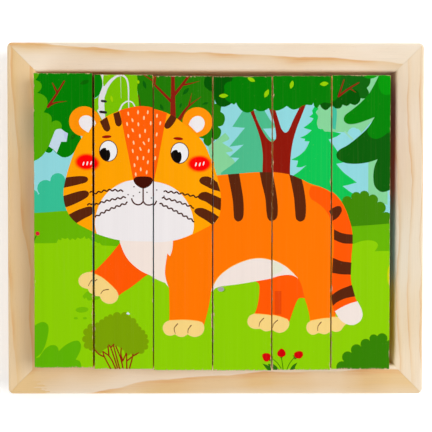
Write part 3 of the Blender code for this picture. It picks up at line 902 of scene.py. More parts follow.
def tiger_ground(page):
    """Hill, grass and the plants on it."""
    page.fill(page.ink.hill, smooth([(-1, 52.6, CORNER), (5, 53), (11, 53.4), (40, 52), (90, 48.6),
        (106, 48.7, CORNER), (113, 49.2), (120, 49.8, CORNER), (120, 30, CORNER), (-1, 30, CORNER)]))
    tufts = [(-1, 42.4), (3.6, 42.4), (7.6, 42.5), (8.2, 43.8), (9.2, 43.4), (9.4, 44.3), (10.6, 43.8),
        (11.4, 44.3), (12.2, 43.4), (13, 44.1), (14, 43.5), (14.8, 44.4), (15.6, 43.9), (16.6, 44.2), (17.1, 44.9),
        (17.6, 43.8), (18.6, 44.2), (19.4, 43.4), (20.2, 43.5), (21, 42.9), (21.6, 43.1), (22.4, 42.2), (28, 41.9)]
    page.fill(page.ink.grass, [*tufts, (60, 42), (100, 40), (120, 40.4), (120, -1), (-1, -1)])
    page.fill(page.ink.grass, smooth([(104, 42.6, CORNER), (106.6, 42.8), (109.4, 43.7), (112, 44), (114.2, 43.5),
        (115, 42.4), (114.4, 40.9), (113.4, 39.8, CORNER), (104, 39, CORNER)]))
    page.fill(rgb(45, 112, 4), line([(-0.2, 43.1), (0.9, 45.2)], 0.5, 0.25))
    page.fill(rgb(216, 30, 52), oval(1.2, 45.7, 0.75, 0.72, sides=14))
    shade = rgb(114, 186, 2)
    page.fill(shade, smooth([(16.4, 24.4, CORNER), (17, 23.4, CORNER), (17.6, 24, CORNER), (18.4, 22.9), (20, 23.4),
        (22.4, 24.6, CORNER), (21, 26.4, CORNER), (17.8, 26, CORNER)]), oval(16.2, 19.8, 2.2, 0.95, 4),
        oval(14.1, 16.9, 0.7, 0.4), oval(17.2, 16.9, 0.7, 0.4))
    page.fill(page.ink.herb, smooth([(-1, 13.4, CORNER), (1.4, 15.2), (3.2, 15.6), (4.6, 14.7), (4.8, 12.6),
        (4.2, 9.4), (3.3, 6.8), (2.3, 5, CORNER), (-1, 2, CORNER)]), smooth([(1.6, 3.6, CORNER), (3.6, 6.4),
        (5.6, 7.7), (7.2, 7.6), (8.1, 6.6), (8.2, 5.6, CORNER), (10.4, 7.6), (13, 9), (14.9, 9.2), (15.8, 8),
        (15.6, 6), (14.8, 4.2), (14, 2.8, CORNER), (15.3, 2.3), (15.9, 0.8), (15.8, -1, CORNER), (-1, -1, CORNER),
        (-1, 3, CORNER)]))
    # olive bush on its red twigs
    page.fill(rgb(122, 160, 2), bumpy([(18.4, 6.6), (17.3, 8.6), (17.4, 11), (18.1, 13.4), (20.3, 14.4),
        (21.4, 15.8), (23.3, 16.4), (24.4, 17.9), (26.1, 18), (28.8, 18.4), (31.4, 18.2), (31.9, 17), (33.9, 15.7),
        (34.4, 14.4), (35.6, 13.2), (36.9, 12), (37.4, 10.4), (37.5, 8.6), (36.8, 6.7), (34.6, 6), (32.2, 5.4),
        (30, 6.2, CORNER), (27.8, 7.8, CORNER), (24.6, 7.6, CORNER), (22.6, 6.4), (20, 6.6)], 0.95))
    twig = rgb(140, 32, 12)
    for points in ([(25.6, -0.4), (23.2, 4.2), (22.6, 6)], [(23, 4.3), (21.2, 5.2), (19.9, 6.7)], [(27.3, -0.4),
            (25, 4.2), (22.8, 6)], [(24.7, 4.8), (24.4, 7.9)], [(27.9, -0.4), (25.4, 7.2), (24.7, 8.3)],
            [(25.4, 7.4), (26.4, 8.5)], [(28.5, -0.4), (26.3, 8)], [(29.6, -0.4), (28.8, 3.4), (27.1, 7.8)],
            [(29.4, 2.8), (28.8, 5), (28.9, 7.2)], [(29.4, 2.8), (30.6, 5.4)], [(30.8, -0.4), (30.7, 5.4)],
            [(31.5, -0.4), (32.6, 3.6), (32.9, 5.2)], [(30.8, 2.8), (32.8, 4.4), (34.8, 5.6)]):
        page.fill(twig, line(points, 0.5, 0.42))
    page.fill(rgb(216, 226, 236), smooth([(30.6, 19, CORNER), (31.2, 19.5), (31.9, 18.8, CORNER), (31.2, 18.6)]))
    # berries
    stem, berry = rgb(56, 112, 4), rgb(205, 2, 4)
    for points in ([(79.3, 4), (81.2, 2.4), (83, -0.4)], [(82.5, 4.6), (82.9, 2), (83.2, -0.4)], [(86.9, 4.3),
            (85.2, 2), (84.2, -0.4)]):
        page.fill(stem, line(points, 0.26))
    page.fill(rgb(40, 108, 10), smooth([(76.4, 2.4, CORNER), (78.4, 1.7), (79.4, 0.4), (79.8, -1, CORNER),
        (78.6, -0.2), (77.6, 0.8, CORNER)]), smooth([(78.2, 2.3, CORNER), (79.6, 2.1), (80.9, 1.2),
        (82, -0.4, CORNER), (80.4, -0.2), (79, 0.6, CORNER)]), smooth([(88, 2.6, CORNER), (86.4, 1.6), (85.6, 0.4),
        (85.3, -1, CORNER), (87, -0.2), (87.2, 1, CORNER)]), smooth([(78.6, 4.6, CORNER), (79.8, 4.6, CORNER),
        (79.4, 3.8, CORNER), (79.6, 3.2, CORNER), (78.6, 3.4, CORNER)]), smooth([(81.6, 4.9, CORNER),
        (82.6, 3.9, CORNER), (83.4, 4.9, CORNER)]), smooth([(87.4, 4.9, CORNER), (86.4, 5, CORNER),
        (87, 4.2, CORNER), (86.9, 3.6, CORNER), (87.8, 3.9, CORNER)]))
    page.fill(berry, smooth([(76.3, 5.5), (77.4, 6), (78.9, 5.7), (79.2, 4.4), (78.2, 3.1), (77.2, 3.2),
        (76.5, 4.2)]), smooth([(82.7, 7.4), (83.9, 6.2), (83.9, 5), (82.6, 4.4), (81.3, 4.9), (81.2, 6.2)]),
        smooth([(87, 5.9), (88.4, 6.5), (89.7, 6.2), (89.9, 4.9), (88.9, 3.9), (87.6, 4.1), (86.9, 4.9)]))
    page.fill(rgb(52, 128, 2), bumpy([(102.2, -1), (103.6, 2.6), (106.2, 5.6), (109.5, 7.6), (112.5, 9.6),
        (114.9, 11.3), (118.2, 9.6), (121, 6, CORNER), (121, -1, CORNER)], 1.0))
    page.fill(rgb(198, 210, 2), oval(119.3, 32, 1.1, 3.6))
    page.fill(rgb(112, 180, 2), oval(62.9, 27.6, 0.9, 0.7))
    page.fill(rgb(166, 162, 164), oval(62.2, 27.8, 1.1, 0.8))


def tiger_body(page):
    """Body, legs and tail, far side first."""
    fur, dusk, cream, brown = page.ink.fur, page.ink.dark_fur, page.ink.paw, page.ink.stripe
    edge = rgb(255, 186, 60)
    page.fill(dusk, smooth([(73, 31, CORNER), (75, 29.8), (75.3, 28.6), (75.1, 25), (74.4, 21.4), (73, 18, CORNER),
        (85.2, 16.4, CORNER), (86.4, 20), (87.9, 23.8), (88.8, 24.6), (91, 24.5, CORNER), (92, 34, CORNER),
        (79, 36, CORNER)]))
    page.fill(rgb(232, 72, 4), smooth([(80.2, 19, CORNER), (80.2, 27, CORNER), (82.5, 27, CORNER),
        (82.5, 19, CORNER)]))
    trunk = smooth([(56, 66, CORNER), (61, 66.5), (68, 67.1), (75, 67.6), (80, 67.4), (85.2, 66.6), (89, 65.1),
        (92.2, 63.5), (96, 62.3), (99.5, 60.4), (102.6, 57), (104.8, 52.4), (106, 47, CORNER), (101, 30, CORNER),
        (100.6, 16, CORNER), (92.3, 16.4, CORNER), (92, 18.8), (91.2, 22), (90.5, 24.1, CORNER), (90, 26.4),
        (89.3, 29), (88.2, 31.4), (86.8, 33), (84, 35.3), (80, 37.4), (76, 38.2), (72, 37.9), (68, 36.5),
        (64.4, 34.4), (61.4, 31.8), (59.8, 29), (59, 25.4), (58.3, 21.4), (56.7, 15, CORNER), (44.9, 16, CORNER),
        (45, 20), (44.9, 27, CORNER), (44.8, 28.4, CORNER), (44, 30.4), (43.5, 33), (43.7, 36),
        (44.3, 39.9, CORNER), (45.2, 38.9, CORNER), (46, 41.4), (46.3, 46, CORNER)])
    page.fill(fur, trunk)
    page.fill(page.ink.belly, smooth([(59.2, 26.8, CORNER), (59.9, 29.6), (61.5, 32), (64.4, 34.5), (68, 36.5),
        (72, 37.9), (76, 38.3), (80, 37.4), (84, 35.3), (86.6, 33.1), (88.2, 31.2, CORNER), (86.8, 32.1),
        (85, 32.5), (82, 32.2), (79, 31.4), (74, 30.5), (68, 29.5), (62, 28.7), (60.2, 28.1, CORNER)]))
    page.fill(edge, line([(59.6, 29.2), (61.5, 32.1), (64.4, 34.6), (68, 36.6), (72, 38), (76, 38.4), (80, 37.5),
        (84, 35.4), (88, 31.5)], 0.22, 0.1))
    page.fill(rgb(228, 228, 206), smooth([(79.4, 37.2, CORNER), (81.4, 36.4), (83, 34.6), (81.6, 33.2),
        (79.4, 32.4, CORNER)]))
    for stripe in ([(64.3, 68, CORNER), (68.2, 68, CORNER), (69, 63.4), (69.8, 58), (69.9, 53.6), (69.4, 51.6),
            (68, 50.8), (66.8, 51.7), (66.5, 54), (66.2, 58), (65.3, 63)], [(75.1, 68.5, CORNER),
            (79.2, 68.5, CORNER), (80, 64.2), (80.8, 59.6), (81.2, 54.6), (80.8, 51.8), (79.4, 50.9), (78.2, 51.7),
            (77.7, 54), (77.2, 59), (76, 64)], [(84.8, 67.6, CORNER), (89, 66, CORNER), (90, 62), (90.7, 57),
            (90.7, 53), (90.2, 51.3), (88.8, 50.6), (87.5, 51.4), (87.1, 54), (86.7, 58.6), (85.8, 63.4)]):
        page.fill(brown, smooth(stripe), within=trunk)
    # raised front leg, chest
    page.fill(dusk, smooth([(28.5, 45, CORNER), (28.5, 43, CORNER), (25.2, 38.9, CORNER), (22, 35.5),
        (19.6, 33.2, CORNER), (18, 32, CORNER), (24, 26, CORNER), (28.1, 25.1, CORNER), (29.4, 26.1), (32.2, 27.9),
        (35.2, 30.2), (37.2, 31.8), (38.8, 32.6, CORNER), (36, 40, CORNER)]))
    page.fill(page.ink.chest, smooth([(28.2, 46, CORNER), (28.5, 43.2, CORNER), (29.8, 39.8), (31.4, 37.2),
        (33.6, 35), (36, 33.3), (38.4, 32.2, CORNER), (41, 30.9), (43.6, 29.8, CORNER), (44.7, 28.4, CORNER),
        (44, 30.4), (43.5, 33), (43.7, 36), (44.3, 39.9, CORNER), (45.2, 38.9, CORNER), (46, 41.4),
        (46.3, 46, CORNER)]))
    # paws
    page.fill(cream, smooth([(19.6, 32.6), (17.4, 32.4), (15.7, 31.4), (15, 29.8), (15.6, 28), (17.2, 27.1),
        (18.2, 26.9, CORNER), (18.8, 25.7), (20.2, 25), (21.6, 24.9, CORNER), (22.4, 23.4), (23.8, 22.5),
        (25.5, 22.3), (27.2, 23.2), (28, 25), (27.4, 26.7), (25.2, 28.9), (22.4, 31.2)]))
    page.fill(edge, line([(19.6, 32.7), (22.4, 31.3), (25.2, 29), (27.4, 26.8)], 0.2, 0.1))
    page.fill(cream, smooth([(42.7, 14.4), (43.2, 16), (44.9, 17), (50, 17.2), (54, 16.9), (56.2, 16.3),
        (56.9, 14.4), (56, 12.3), (53.8, 11.4), (52, 11.8), (51.2, 12.3, CORNER), (49.6, 11.4), (48, 11.6),
        (47, 12.3, CORNER), (45.2, 11.8), (43.5, 12.5)]), smooth([(71.2, 16.7), (72, 18.7), (74.4, 19.5), (78, 19),
        (82, 18.2), (84.7, 17.2), (85.2, 15.4), (84, 13.5), (82, 12.7), (80.2, 13.2), (79.4, 13.8, CORNER),
        (77.4, 13.4), (75.6, 14.3, CORNER), (73.4, 14.3), (71.8, 15.2)]), smooth([(91, 14.4), (91.5, 16.1),
        (93.4, 17.1), (97, 17.6), (101.6, 17.9, CORNER), (105, 16, CORNER), (103.6, 14.8), (102.4, 13.2),
        (100.8, 12.7), (99.4, 13.2, CORNER), (97.4, 12.2), (95.2, 12.7, CORNER), (93.2, 12), (91.6, 12.9)]))
    page.fill(edge, line([(44.9, 17.1), (50, 17.3), (54, 17), (56.2, 16.4)], 0.2, 0.1), line([(73.4, 19.5),
        (78, 19.1), (82, 18.3), (84.7, 17.3)], 0.2), line([(92.4, 16.9), (97, 17.7), (101, 17.9)], 0.2))
    page.toes(rgb(120, 76, 40), [(18.4, 27.9), (19.2, 29.5), (20.7, 30.6)], [(22, 25.8), (22.9, 26.9),
        (24.6, 27.2)], [(47, 12.6), (46.6, 14.3), (47.8, 15.9)], [(51.3, 12.7), (51.4, 14), (52.4, 15.4)],
        [(75.2, 15.1), (75.5, 16.5), (76.8, 17.9)], [(79.5, 14.4), (79.9, 15.8), (81.2, 17)], [(94.9, 13.4),
        (95, 15), (96.1, 16.4)])
    # tail
    page.fill(page.ink.dark_fur, smooth([(92.4, 62.7, CORNER), (95.4, 62.3), (98.2, 61.2), (100.6, 59.3),
        (102.8, 56.4), (104.6, 52.6), (106, 48.4), (106.4, 44), (106, 38), (105.8, 32), (106.3, 28), (107.4, 24.4),
        (109, 21, CORNER), (100.4, 19, CORNER), (99.6, 22), (99.2, 26), (99.4, 32), (99.8, 38), (100, 44),
        (99.8, 48.4), (98.8, 52.2), (97, 55), (94.6, 57), (92.5, 58.4), (91.8, 60.4)]))
    for band in ([(98.6, 54.2, CORNER), (100.4, 55.4), (102, 55.6), (102.7, 54.4), (102, 52.6), (100.6, 51.2),
            (99.5, 50.6, CORNER), (99.4, 52.4)], [(100, 47.7, CORNER), (102.8, 46.4), (106.4, 45.9, CORNER),
            (106.4, 42.8, CORNER), (103, 43), (100, 44.2, CORNER)], [(99.7, 38, CORNER), (102.6, 36.9),
            (106, 36.4, CORNER), (105.8, 32.3, CORNER), (102.4, 32.4), (99.4, 32.9, CORNER)], [(99.1, 25.2, CORNER),
            (102, 27.1), (106.2, 28.8, CORNER), (107.3, 24.9, CORNER), (104, 24.2), (101.2, 22.9),
            (99.7, 21.6, CORNER)]):
        page.fill(brown, smooth(band))
    page.fill(page.ink.belly, smooth([(100.4, 19.8, CORNER), (102.6, 21.1), (105.4, 22.4), (108.1, 23.2, CORNER),
        (109.2, 21.2), (109.9, 18.7), (109.2, 16.6), (107.4, 15.3), (105.6, 15.1), (103.6, 15.8), (102, 17.2)]))


def tiger_head(page):
    """Head and face."""
    face, fur, brown, white = page.ink.face, page.ink.fur, page.ink.stripe, page.ink.muzzle
    page.fill(page.ink.ear, oval(17.1, 83.7, 5.15, 5.1), oval(54.5, 84.4, 5.1, 5.05))
    head = smooth([(22.6, 84.8), (25, 86.4), (28.4, 87.8), (32, 88.9), (36, 89.3), (40, 88.8), (43.8, 87.6),
        (47, 86), (50, 83.7), (53.4, 80.8), (56.2, 77.9), (58, 74.6), (59.6, 70.2), (60.8, 66.4), (61.6, 63.2),
        (62.1, 60), (62.2, 56.8), (61.9, 53.8), (61, 51.4), (59.3, 49.7), (56.6, 48.2), (53, 46.4), (50, 45.2),
        (46.2, 44.2), (40, 43.7), (34, 43.7), (28.2, 44), (24, 45), (20, 46.4), (17, 47.8), (14.4, 49.3),
        (12.4, 51.2), (11.2, 53.4), (10.3, 56), (10, 58.6), (10.2, 61.6), (10.9, 64.8), (12, 68.6), (13.4, 72.6),
        (15.2, 76.4), (17.4, 79.8), (19.8, 82.6)])
    page.fill(face, head)
    page.fill(white, smooth([(20.5, 83.5, CORNER), (19.8, 84.9), (18.6, 85.6), (17.2, 85.7), (15.9, 85),
        (15.3, 83.7), (15.8, 82), (17, 80.8), (18.5, 79.9, CORNER)]), smooth([(51.5, 83.6, CORNER), (52.4, 85.3),
        (53.9, 86.4), (55.6, 86.3), (56.8, 85), (56.9, 83.4), (55.9, 81.7), (54.3, 80.8, CORNER)]))
    page.fill(page.ink.blaze, smooth([(28.5, 87.9, CORNER), (32, 88.9), (36, 89.4), (40, 88.8),
        (44.2, 87.4, CORNER), (42.4, 78), (40.6, 68.4), (39.7, 64.6, CORNER), (33, 64.6, CORNER), (31.6, 72),
        (30.2, 79)]))
    for x, y, lean in ((31.4, 86.8, 8), (34.7, 87.3, 0), (38, 87.3, -4), (36.7, 85.4, 0), (32.8, 84.6, 16),
            (31, 83.3, 10), (34.8, 83.2, 6), (39, 83.6, 0), (32.9, 81.2, 22), (37.1, 81, 0), (31.4, 79.3, 8),
            (35.3, 79.3, 4), (33.2, 77, 8), (36.7, 76.8, 30), (38.3, 77.9, -4), (32.9, 74.2, 6), (35.5, 74.9, 20),
            (38.3, 74.2, -6), (34.5, 71.8, 4), (36.5, 71.8, -4), (33.5, 69.4, 6), (38, 70.4, -8), (35.6, 68, 0),
            (37.6, 67, -6), (33.9, 66.3, 4), (40.8, 86.5, -6), (41.9, 84, -12), (40.7, 80.2, -12), (40.2, 76.3, -8),
            (40.2, 72.2, -8)):
        page.fill(rgb(255, 206, 150), oval(x, y, 0.28, 0.7, lean, sides=10))
    for mark in ([(21.8, 84.2, CORNER), (24.2, 85.7, CORNER), (25, 83.2), (25.3, 81.6), (24.4, 80.7), (23.3, 81.2),
            (22.4, 82.8)], [(26.3, 86.8, CORNER), (28.3, 87.6, CORNER), (28.9, 85.4), (29.2, 83.5), (28.4, 82.5),
            (27.3, 82.9), (26.8, 84.6)], [(45.5, 86.9, CORNER), (47.5, 85.8, CORNER), (46.6, 84.1), (45.2, 82.5),
            (44, 82.1), (43.3, 82.9), (43.8, 84.4)], [(10.2, 64.6, CORNER), (13, 65), (16, 65.2), (17.9, 64.9),
            (18.4, 64), (17.7, 63.1), (15, 62.3), (12, 61.6), (9.6, 61.1, CORNER)], [(9.6, 58.3, CORNER),
            (13, 59.4), (16, 60.2), (17.9, 60.2), (18.7, 59.3), (18.1, 58.1), (15, 56.3), (12, 55),
            (9.8, 54.4, CORNER)], [(11, 51.7, CORNER), (14.4, 53.5), (17.4, 54.6), (19.2, 54.9), (20, 54.2),
            (19.8, 52.4), (17, 50.8), (14, 49, CORNER)], [(55.1, 64.7), (56, 65.8), (58.4, 65.9),
            (61, 64.1, CORNER), (62, 61, CORNER), (59.4, 61.7), (57, 62.9), (55.6, 63.7)], [(54.6, 59.1),
            (55.5, 60.4), (57.4, 60.8), (59.6, 59.9), (62.6, 58.5, CORNER), (62.6, 54.3, CORNER), (60, 55.6),
            (57.4, 57.4), (55.4, 58.2)], [(53.4, 54.2), (54.2, 55.2), (56.2, 55.3), (59, 54.1),
            (61.5, 52.4, CORNER), (59.6, 49.6, CORNER), (57, 51.4), (54.8, 52.7)]):
        page.fill(brown, smooth(mark), within=head)
    page.fill(white, smooth([(33, 64.4, CORNER), (30, 63.7), (27, 62.2), (24.2, 60), (22.1, 57.2), (20.8, 54),
        (20.1, 50.8), (20.1, 48.6), (20.7, 46.1, CORNER), (24, 45), (28.2, 44), (34, 43.6), (40, 43.6),
        (46.2, 44.2), (50, 45.3), (52.8, 46.5, CORNER), (53.3, 49), (53, 52), (52.2, 55), (50.6, 58), (48.4, 60.6),
        (45.5, 62.6), (42.6, 63.7), (39.6, 64.3, CORNER)]))
    outline = rgb(92, 44, 26)
    for points in ([(19, 59.6), (24.5, 60.9), (29.6, 60.7)], [(18.2, 55.4), (24.5, 57.4), (30.4, 58.6)],
            [(20.2, 51.9), (25, 54.4), (31.2, 56.7)], [(43.2, 60.9), (48, 60.4), (54.8, 59)], [(42.6, 58.7),
            (47, 57.7), (53.4, 55.4)], [(41.8, 56.8), (47, 54.3), (53.4, 50.8)]):
        page.fill(rgb(70, 30, 16), wavy_line(points, 0.5))
    page.fill(rgb(66, 16, 6), smooth([(33.1, 64.4), (33.8, 65.3), (36.4, 65.6), (39, 65.3), (39.7, 64.3),
        (39.1, 62.9), (37.8, 61.9), (36.4, 61.5), (35, 62), (33.7, 63.1)]))
    page.fill(rgb(74, 26, 14), line([(36.4, 61.8), (36.4, 56.9)], 0.48), line([(32.5, 58), (33.1, 56.7), (34.4, 56),
        (35.6, 56.2), (36.4, 57.1)], 0.48), line([(36.4, 57.1), (37.3, 56.1), (38.7, 55.9), (40, 56.5),
        (40.6, 57.6)], 0.48))
    for x, y in ((33.3, 62.1), (31.3, 59.4), (33.1, 59), (35.2, 60.2), (37.7, 60.2), (39.2, 58.3), (40.7, 61.4),
            (43.2, 59.3)):
        page.fill(rgb(78, 66, 66), oval(x, y, 0.27, 0.23, sides=8))
    for x, y in ((24.65, 74.2), (48.5, 73.95)):
        page.fill(outline, oval(x, y, 3.15, 3.65))
        page.fill(rgb(240, 238, 238), oval(x, y, 2.88, 3.38))
        pupil = [(-2.95, -0.6), (-2.6, 0.4), (-1.6, 1.05), (-0.8, 0.95, CORNER), (-0.6, 0.25, CORNER),
            (0.2, 0.4, CORNER), (0.6, -0.6), (0.55, -2.2), (-0.1, -3.35, CORNER), (-1.1, -3.2), (-2.2, -2.4)]
        page.fill(rgb(12, 8, 6), smooth([(x + dx, y + dy, *rest) for dx, dy, *rest in pupil]))
    page.fill(rgb(150, 12, 6), oval(24.1, 79, 1.6, 0.5, 4), oval(48, 78.8, 1.65, 0.5, -4))
    for x, y, across in ((17.8, 70, 3.8), (55.2, 70.3, 4.0)):
        page.soft_oval(rgb(255, 2, 2), face, x, y, across, 2.75)
    for x, y in ((16.8, 69.4), (18.1, 69.5), (19.4, 69.6), (54, 70.1), (55.3, 70.1), (56.6, 70.4)):
        page.fill(white, oval(x, y, 0.25, 0.72, -16, sides=10))


def tiger_picture(page):
    """A tiger walking through a forest: the picture on the sticks' upper sides."""
    tiger_forest(page)
    tiger_ground(page)
    tiger_body(page)
    tiger_head(page)


def eye(page, x, y, radius=1.1):
    page.fill(rgb(20, 12, 10), oval(x, y, radius, radius * 1.15))
    page.fill(rgb(250, 250, 250), oval(x + radius * 0.3, y + radius * 0.4, radius * 0.3, radius * 0.3, sides=10))


def bear_picture(page):
    """A bear by a lake in autumn: the picture on the sticks' right sides."""
    width = page.width
    maroon, umber, coat = rgb(96, 22, 18), rgb(74, 34, 18), rgb(150, 88, 34)
    lake, meadow = rgb(108, 150, 152), rgb(178, 164, 24)
    page.box(rgb(236, 170, 92), -1, 52, width + 1, 101)
    page.fill(maroon, bumpy([(-4, 58, CORNER), (-4, 92), (8, 98), (20, 90), (31, 84), (40, 74), (44, 62, CORNER)]),
        bumpy([(74, 58, CORNER), (78, 74), (88, 86), (98, 94), (110, 98), (126, 92), (126, 58, CORNER)]))
    page.fill(rgb(132, 40, 20), bumpy([(82, 58, CORNER), (86, 70), (95, 76), (104, 80), (112, 72),
        (116, 58, CORNER)]), bumpy([(2, 58, CORNER), (4, 72), (14, 80), (24, 74), (30, 58, CORNER)]))
    for x, y in ((16, 60), (104, 60), (90, 56)):
        page.fill(umber, line([(x, y - 6), (x + 0.6, y + 9)], 2.6, 1.2), line([(x, y + 2), (x + 5, y + 9)], 1, 0.5))
    page.box(lake, -1, 24, width + 1, 58)
    page.fill(rgb(138, 178, 176), *[line([(x, y), (x + 9, y + 0.5), (x + 18, y)], 0.7) for x in (2, 34, 70, 98) for
        y in (30 + x % 7, 44 - x % 5)])
    page.fill(rgb(84, 122, 120), smooth([(-2, 56), (20, 59), (50, 55.5), (84, 58.5), (122, 56), (122, 53),
        (-2, 53)]))
    page.fill(meadow, smooth([(-2, 26), (30, 29), (62, 24), (96, 28), (122, 26), (122, -2, CORNER),
        (-2, -2, CORNER)]))
    page.fill(rgb(150, 140, 10), *[leaf(x, 4 + (x * 7) % 15, 6, 2, 70 + x % 40) for x in range(4, 118, 9)])
    page.fill(coat, oval(58, 30, 24, 20), oval(42, 70, 5.4, 5.4), oval(68, 70, 5.4, 5.4), oval(40, 14, 7, 8),
        oval(76, 14, 7, 8))
    page.fill(rgb(168, 102, 44), oval(55, 56, 18, 16.5))
    page.fill(rgb(222, 178, 120), oval(42, 70, 3, 3), oval(68, 70, 3, 3), oval(55, 49, 8, 6.4),
        oval(58, 26, 13, 12))
    page.fill(rgb(60, 26, 14), oval(55, 52.4, 2.8, 1.9), line([(55, 51), (55, 47)], 0.5), line([(51.6, 47.2),
        (53.4, 46), (55, 47), (56.6, 46), (58.4, 47.2)], 0.5))
    eye(page, 48.4, 58.6)
    eye(page, 61.6, 58.6)


def whale_picture(page):
    """A whale in the sea: the picture on the sticks' lower sides."""
    width = page.width
    page.box(rgb(150, 218, 240), -1, 60, width + 1, 101)
    page.fill(rgb(250, 250, 250), bumpy([(12, 82, CORNER), (14, 86), (22, 90), (31, 87), (35, 82, CORNER)]),
        bumpy([(84, 88, CORNER), (87, 92), (95, 95), (104, 91), (106, 88, CORNER)]))
    page.fill(rgb(20, 120, 190), bumpy([(x, 62) for x in range(-6, 131, 12)] + [(130, -2, CORNER),
        (-6, -2, CORNER)], -0.35))
    page.fill(rgb(8, 92, 160), bumpy([(x, 30) for x in range(-9, 131, 14)] + [(131, -2, CORNER), (-9, -2, CORNER)],
        -0.3))
    page.fill(rgb(44, 66, 120), smooth([(20, 46), (26, 62), (44, 70), (66, 66), (84, 52), (94, 50), (104, 62),
        (108, 60), (104, 48), (110, 42), (106, 38), (92, 40), (74, 30), (48, 26), (28, 32)]))
    page.fill(rgb(222, 232, 240), smooth([(21, 44), (34, 42), (54, 38), (70, 32), (58, 28), (40, 28), (27, 34)]))
    page.fill(rgb(34, 52, 100), leaf(52, 34, 20, 8, -50))
    page.fill(rgb(240, 250, 255), line([(42, 71), (42, 80), (36, 84)], 1.4, 0.5), line([(42, 78), (48, 85)], 1.2,
        0.5), *[oval(10 + 9 * i, 12 + (i * 11) % 40, 1.2, 1.2, sides=14) for i in range(12)])
    page.fill(rgb(238, 120, 100), *[line([(x, -1), (x + 1, 6), (x - 2, 12 + x % 5)], 1.8, 0.8) for x in (6, 14, 64,
        92, 101, 114)])
    eye(page, 31, 49)


def elephant_picture(page):
    """An elephant on the savannah: the picture on the sticks' left sides."""
    width = page.width
    skin, shade = rgb(138, 142, 168), rgb(112, 116, 146)
    page.box(rgb(252, 214, 120), -1, 44, width + 1, 101)
    page.fill(rgb(255, 244, 190), oval(92, 84, 9, 9))
    page.fill(rgb(222, 150, 70), smooth([(-2, 58), (20, 66), (44, 56), (80, 60), (106, 70), (122, 60),
        (122, 40, CORNER), (-2, 40, CORNER)]))
    page.fill(rgb(112, 70, 30), line([(14, 40), (15, 62), (10, 76)], 2.6, 1.2), line([(15, 60), (20, 76)], 1.6, 1))
    page.fill(rgb(70, 120, 20), bumpy([(-4, 76, CORNER), (-2, 82), (8, 87), (18, 86), (28, 82), (32, 76, CORNER)]))
    page.fill(rgb(214, 176, 60), smooth([(-2, 46), (40, 44), (80, 47), (122, 44), (122, -2, CORNER),
        (-2, -2, CORNER)]))
    page.fill(rgb(190, 148, 40), *[line([(x, 2 + (x * 5) % 17), (x + 1.5, 8 + (x * 5) % 17)], 0.9, 0.2) for x in
        range(2, 118, 6)])
    page.fill(shade, *[smooth([(x, 8, CORNER), (x, 32), (x + 11, 32), (x + 10, 8, CORNER)]) for x in (52, 84)])
    page.fill(skin, oval(72, 44, 27, 19), *[smooth([(x, 6, CORNER), (x - 1, 34), (x + 13, 34), (x + 11, 6, CORNER)])
        for x in (60, 76)], oval(43, 58, 15, 15), line([(34, 54), (27, 42), (27, 28), (21, 24), (18, 28)], 8.4,
        3.6), line([(98, 48), (103, 36)], 1.4, 0.8))
    page.fill(shade, smooth([(48, 70), (58, 72), (64, 62), (62, 50), (54, 44), (47, 52)]))
    page.fill(rgb(252, 248, 236), smooth([(34, 46, CORNER), (30, 38), (35, 35, CORNER), (39, 44, CORNER)]),
        *[oval(x, 7, 1.4, 1.1, sides=12) for x in (62, 65, 68, 78, 81, 84)])
    eye(page, 38, 61)


# ---- printing the sticks ----


EDGE_STEP = 1.25  # between points along a stick's four edges
INSET = 1.01  # a place just inside the eased edge, in widths of its outermost strip
HEART_REACH = 1.3  # how far the heart of the wood lies from a stick's middle, in sides of the stick


def clipped(outline, left, low, right, high):
    """The outline cut to a rectangle."""
    for axis, limit, inward in ((0, left, 1), (0, right, -1), (1, low, 1), (1, high, -1)):
        if not len(outline):
            break
        gap = (outline[:, axis] - limit) * inward
        cut = []
        for here, there, a, b in zip(outline, np.roll(outline, -1, 0), gap, np.roll(gap, -1)):
            if a >= 0:
                cut.append(here)
            if a * b < 0:
                cut.append(here + (there - here) * (a / (a - b)))
        outline = np.array(cut)
    return outline


def inside(outline, points):
    """Which of the points the outline winds round."""
    found = np.zeros(len(points), bool)
    near = ((points >= outline.min(0)) & (points <= outline.max(0))).all(1)
    x, y = points[near, 0][:, None], points[near, 1][:, None]
    (x0, y0), (x1, y1) = outline.T, np.roll(outline, -1, 0).T
    side = (x1 - x0) * (y - y0) - (x - x0) * (y1 - y0)
    winding = ((y0 <= y) & (y1 > y) & (side > 0)).sum(1) - ((y0 > y) & (y1 <= y) & (side < 0)).sum(1)
    found[near] = winding != 0
    return found


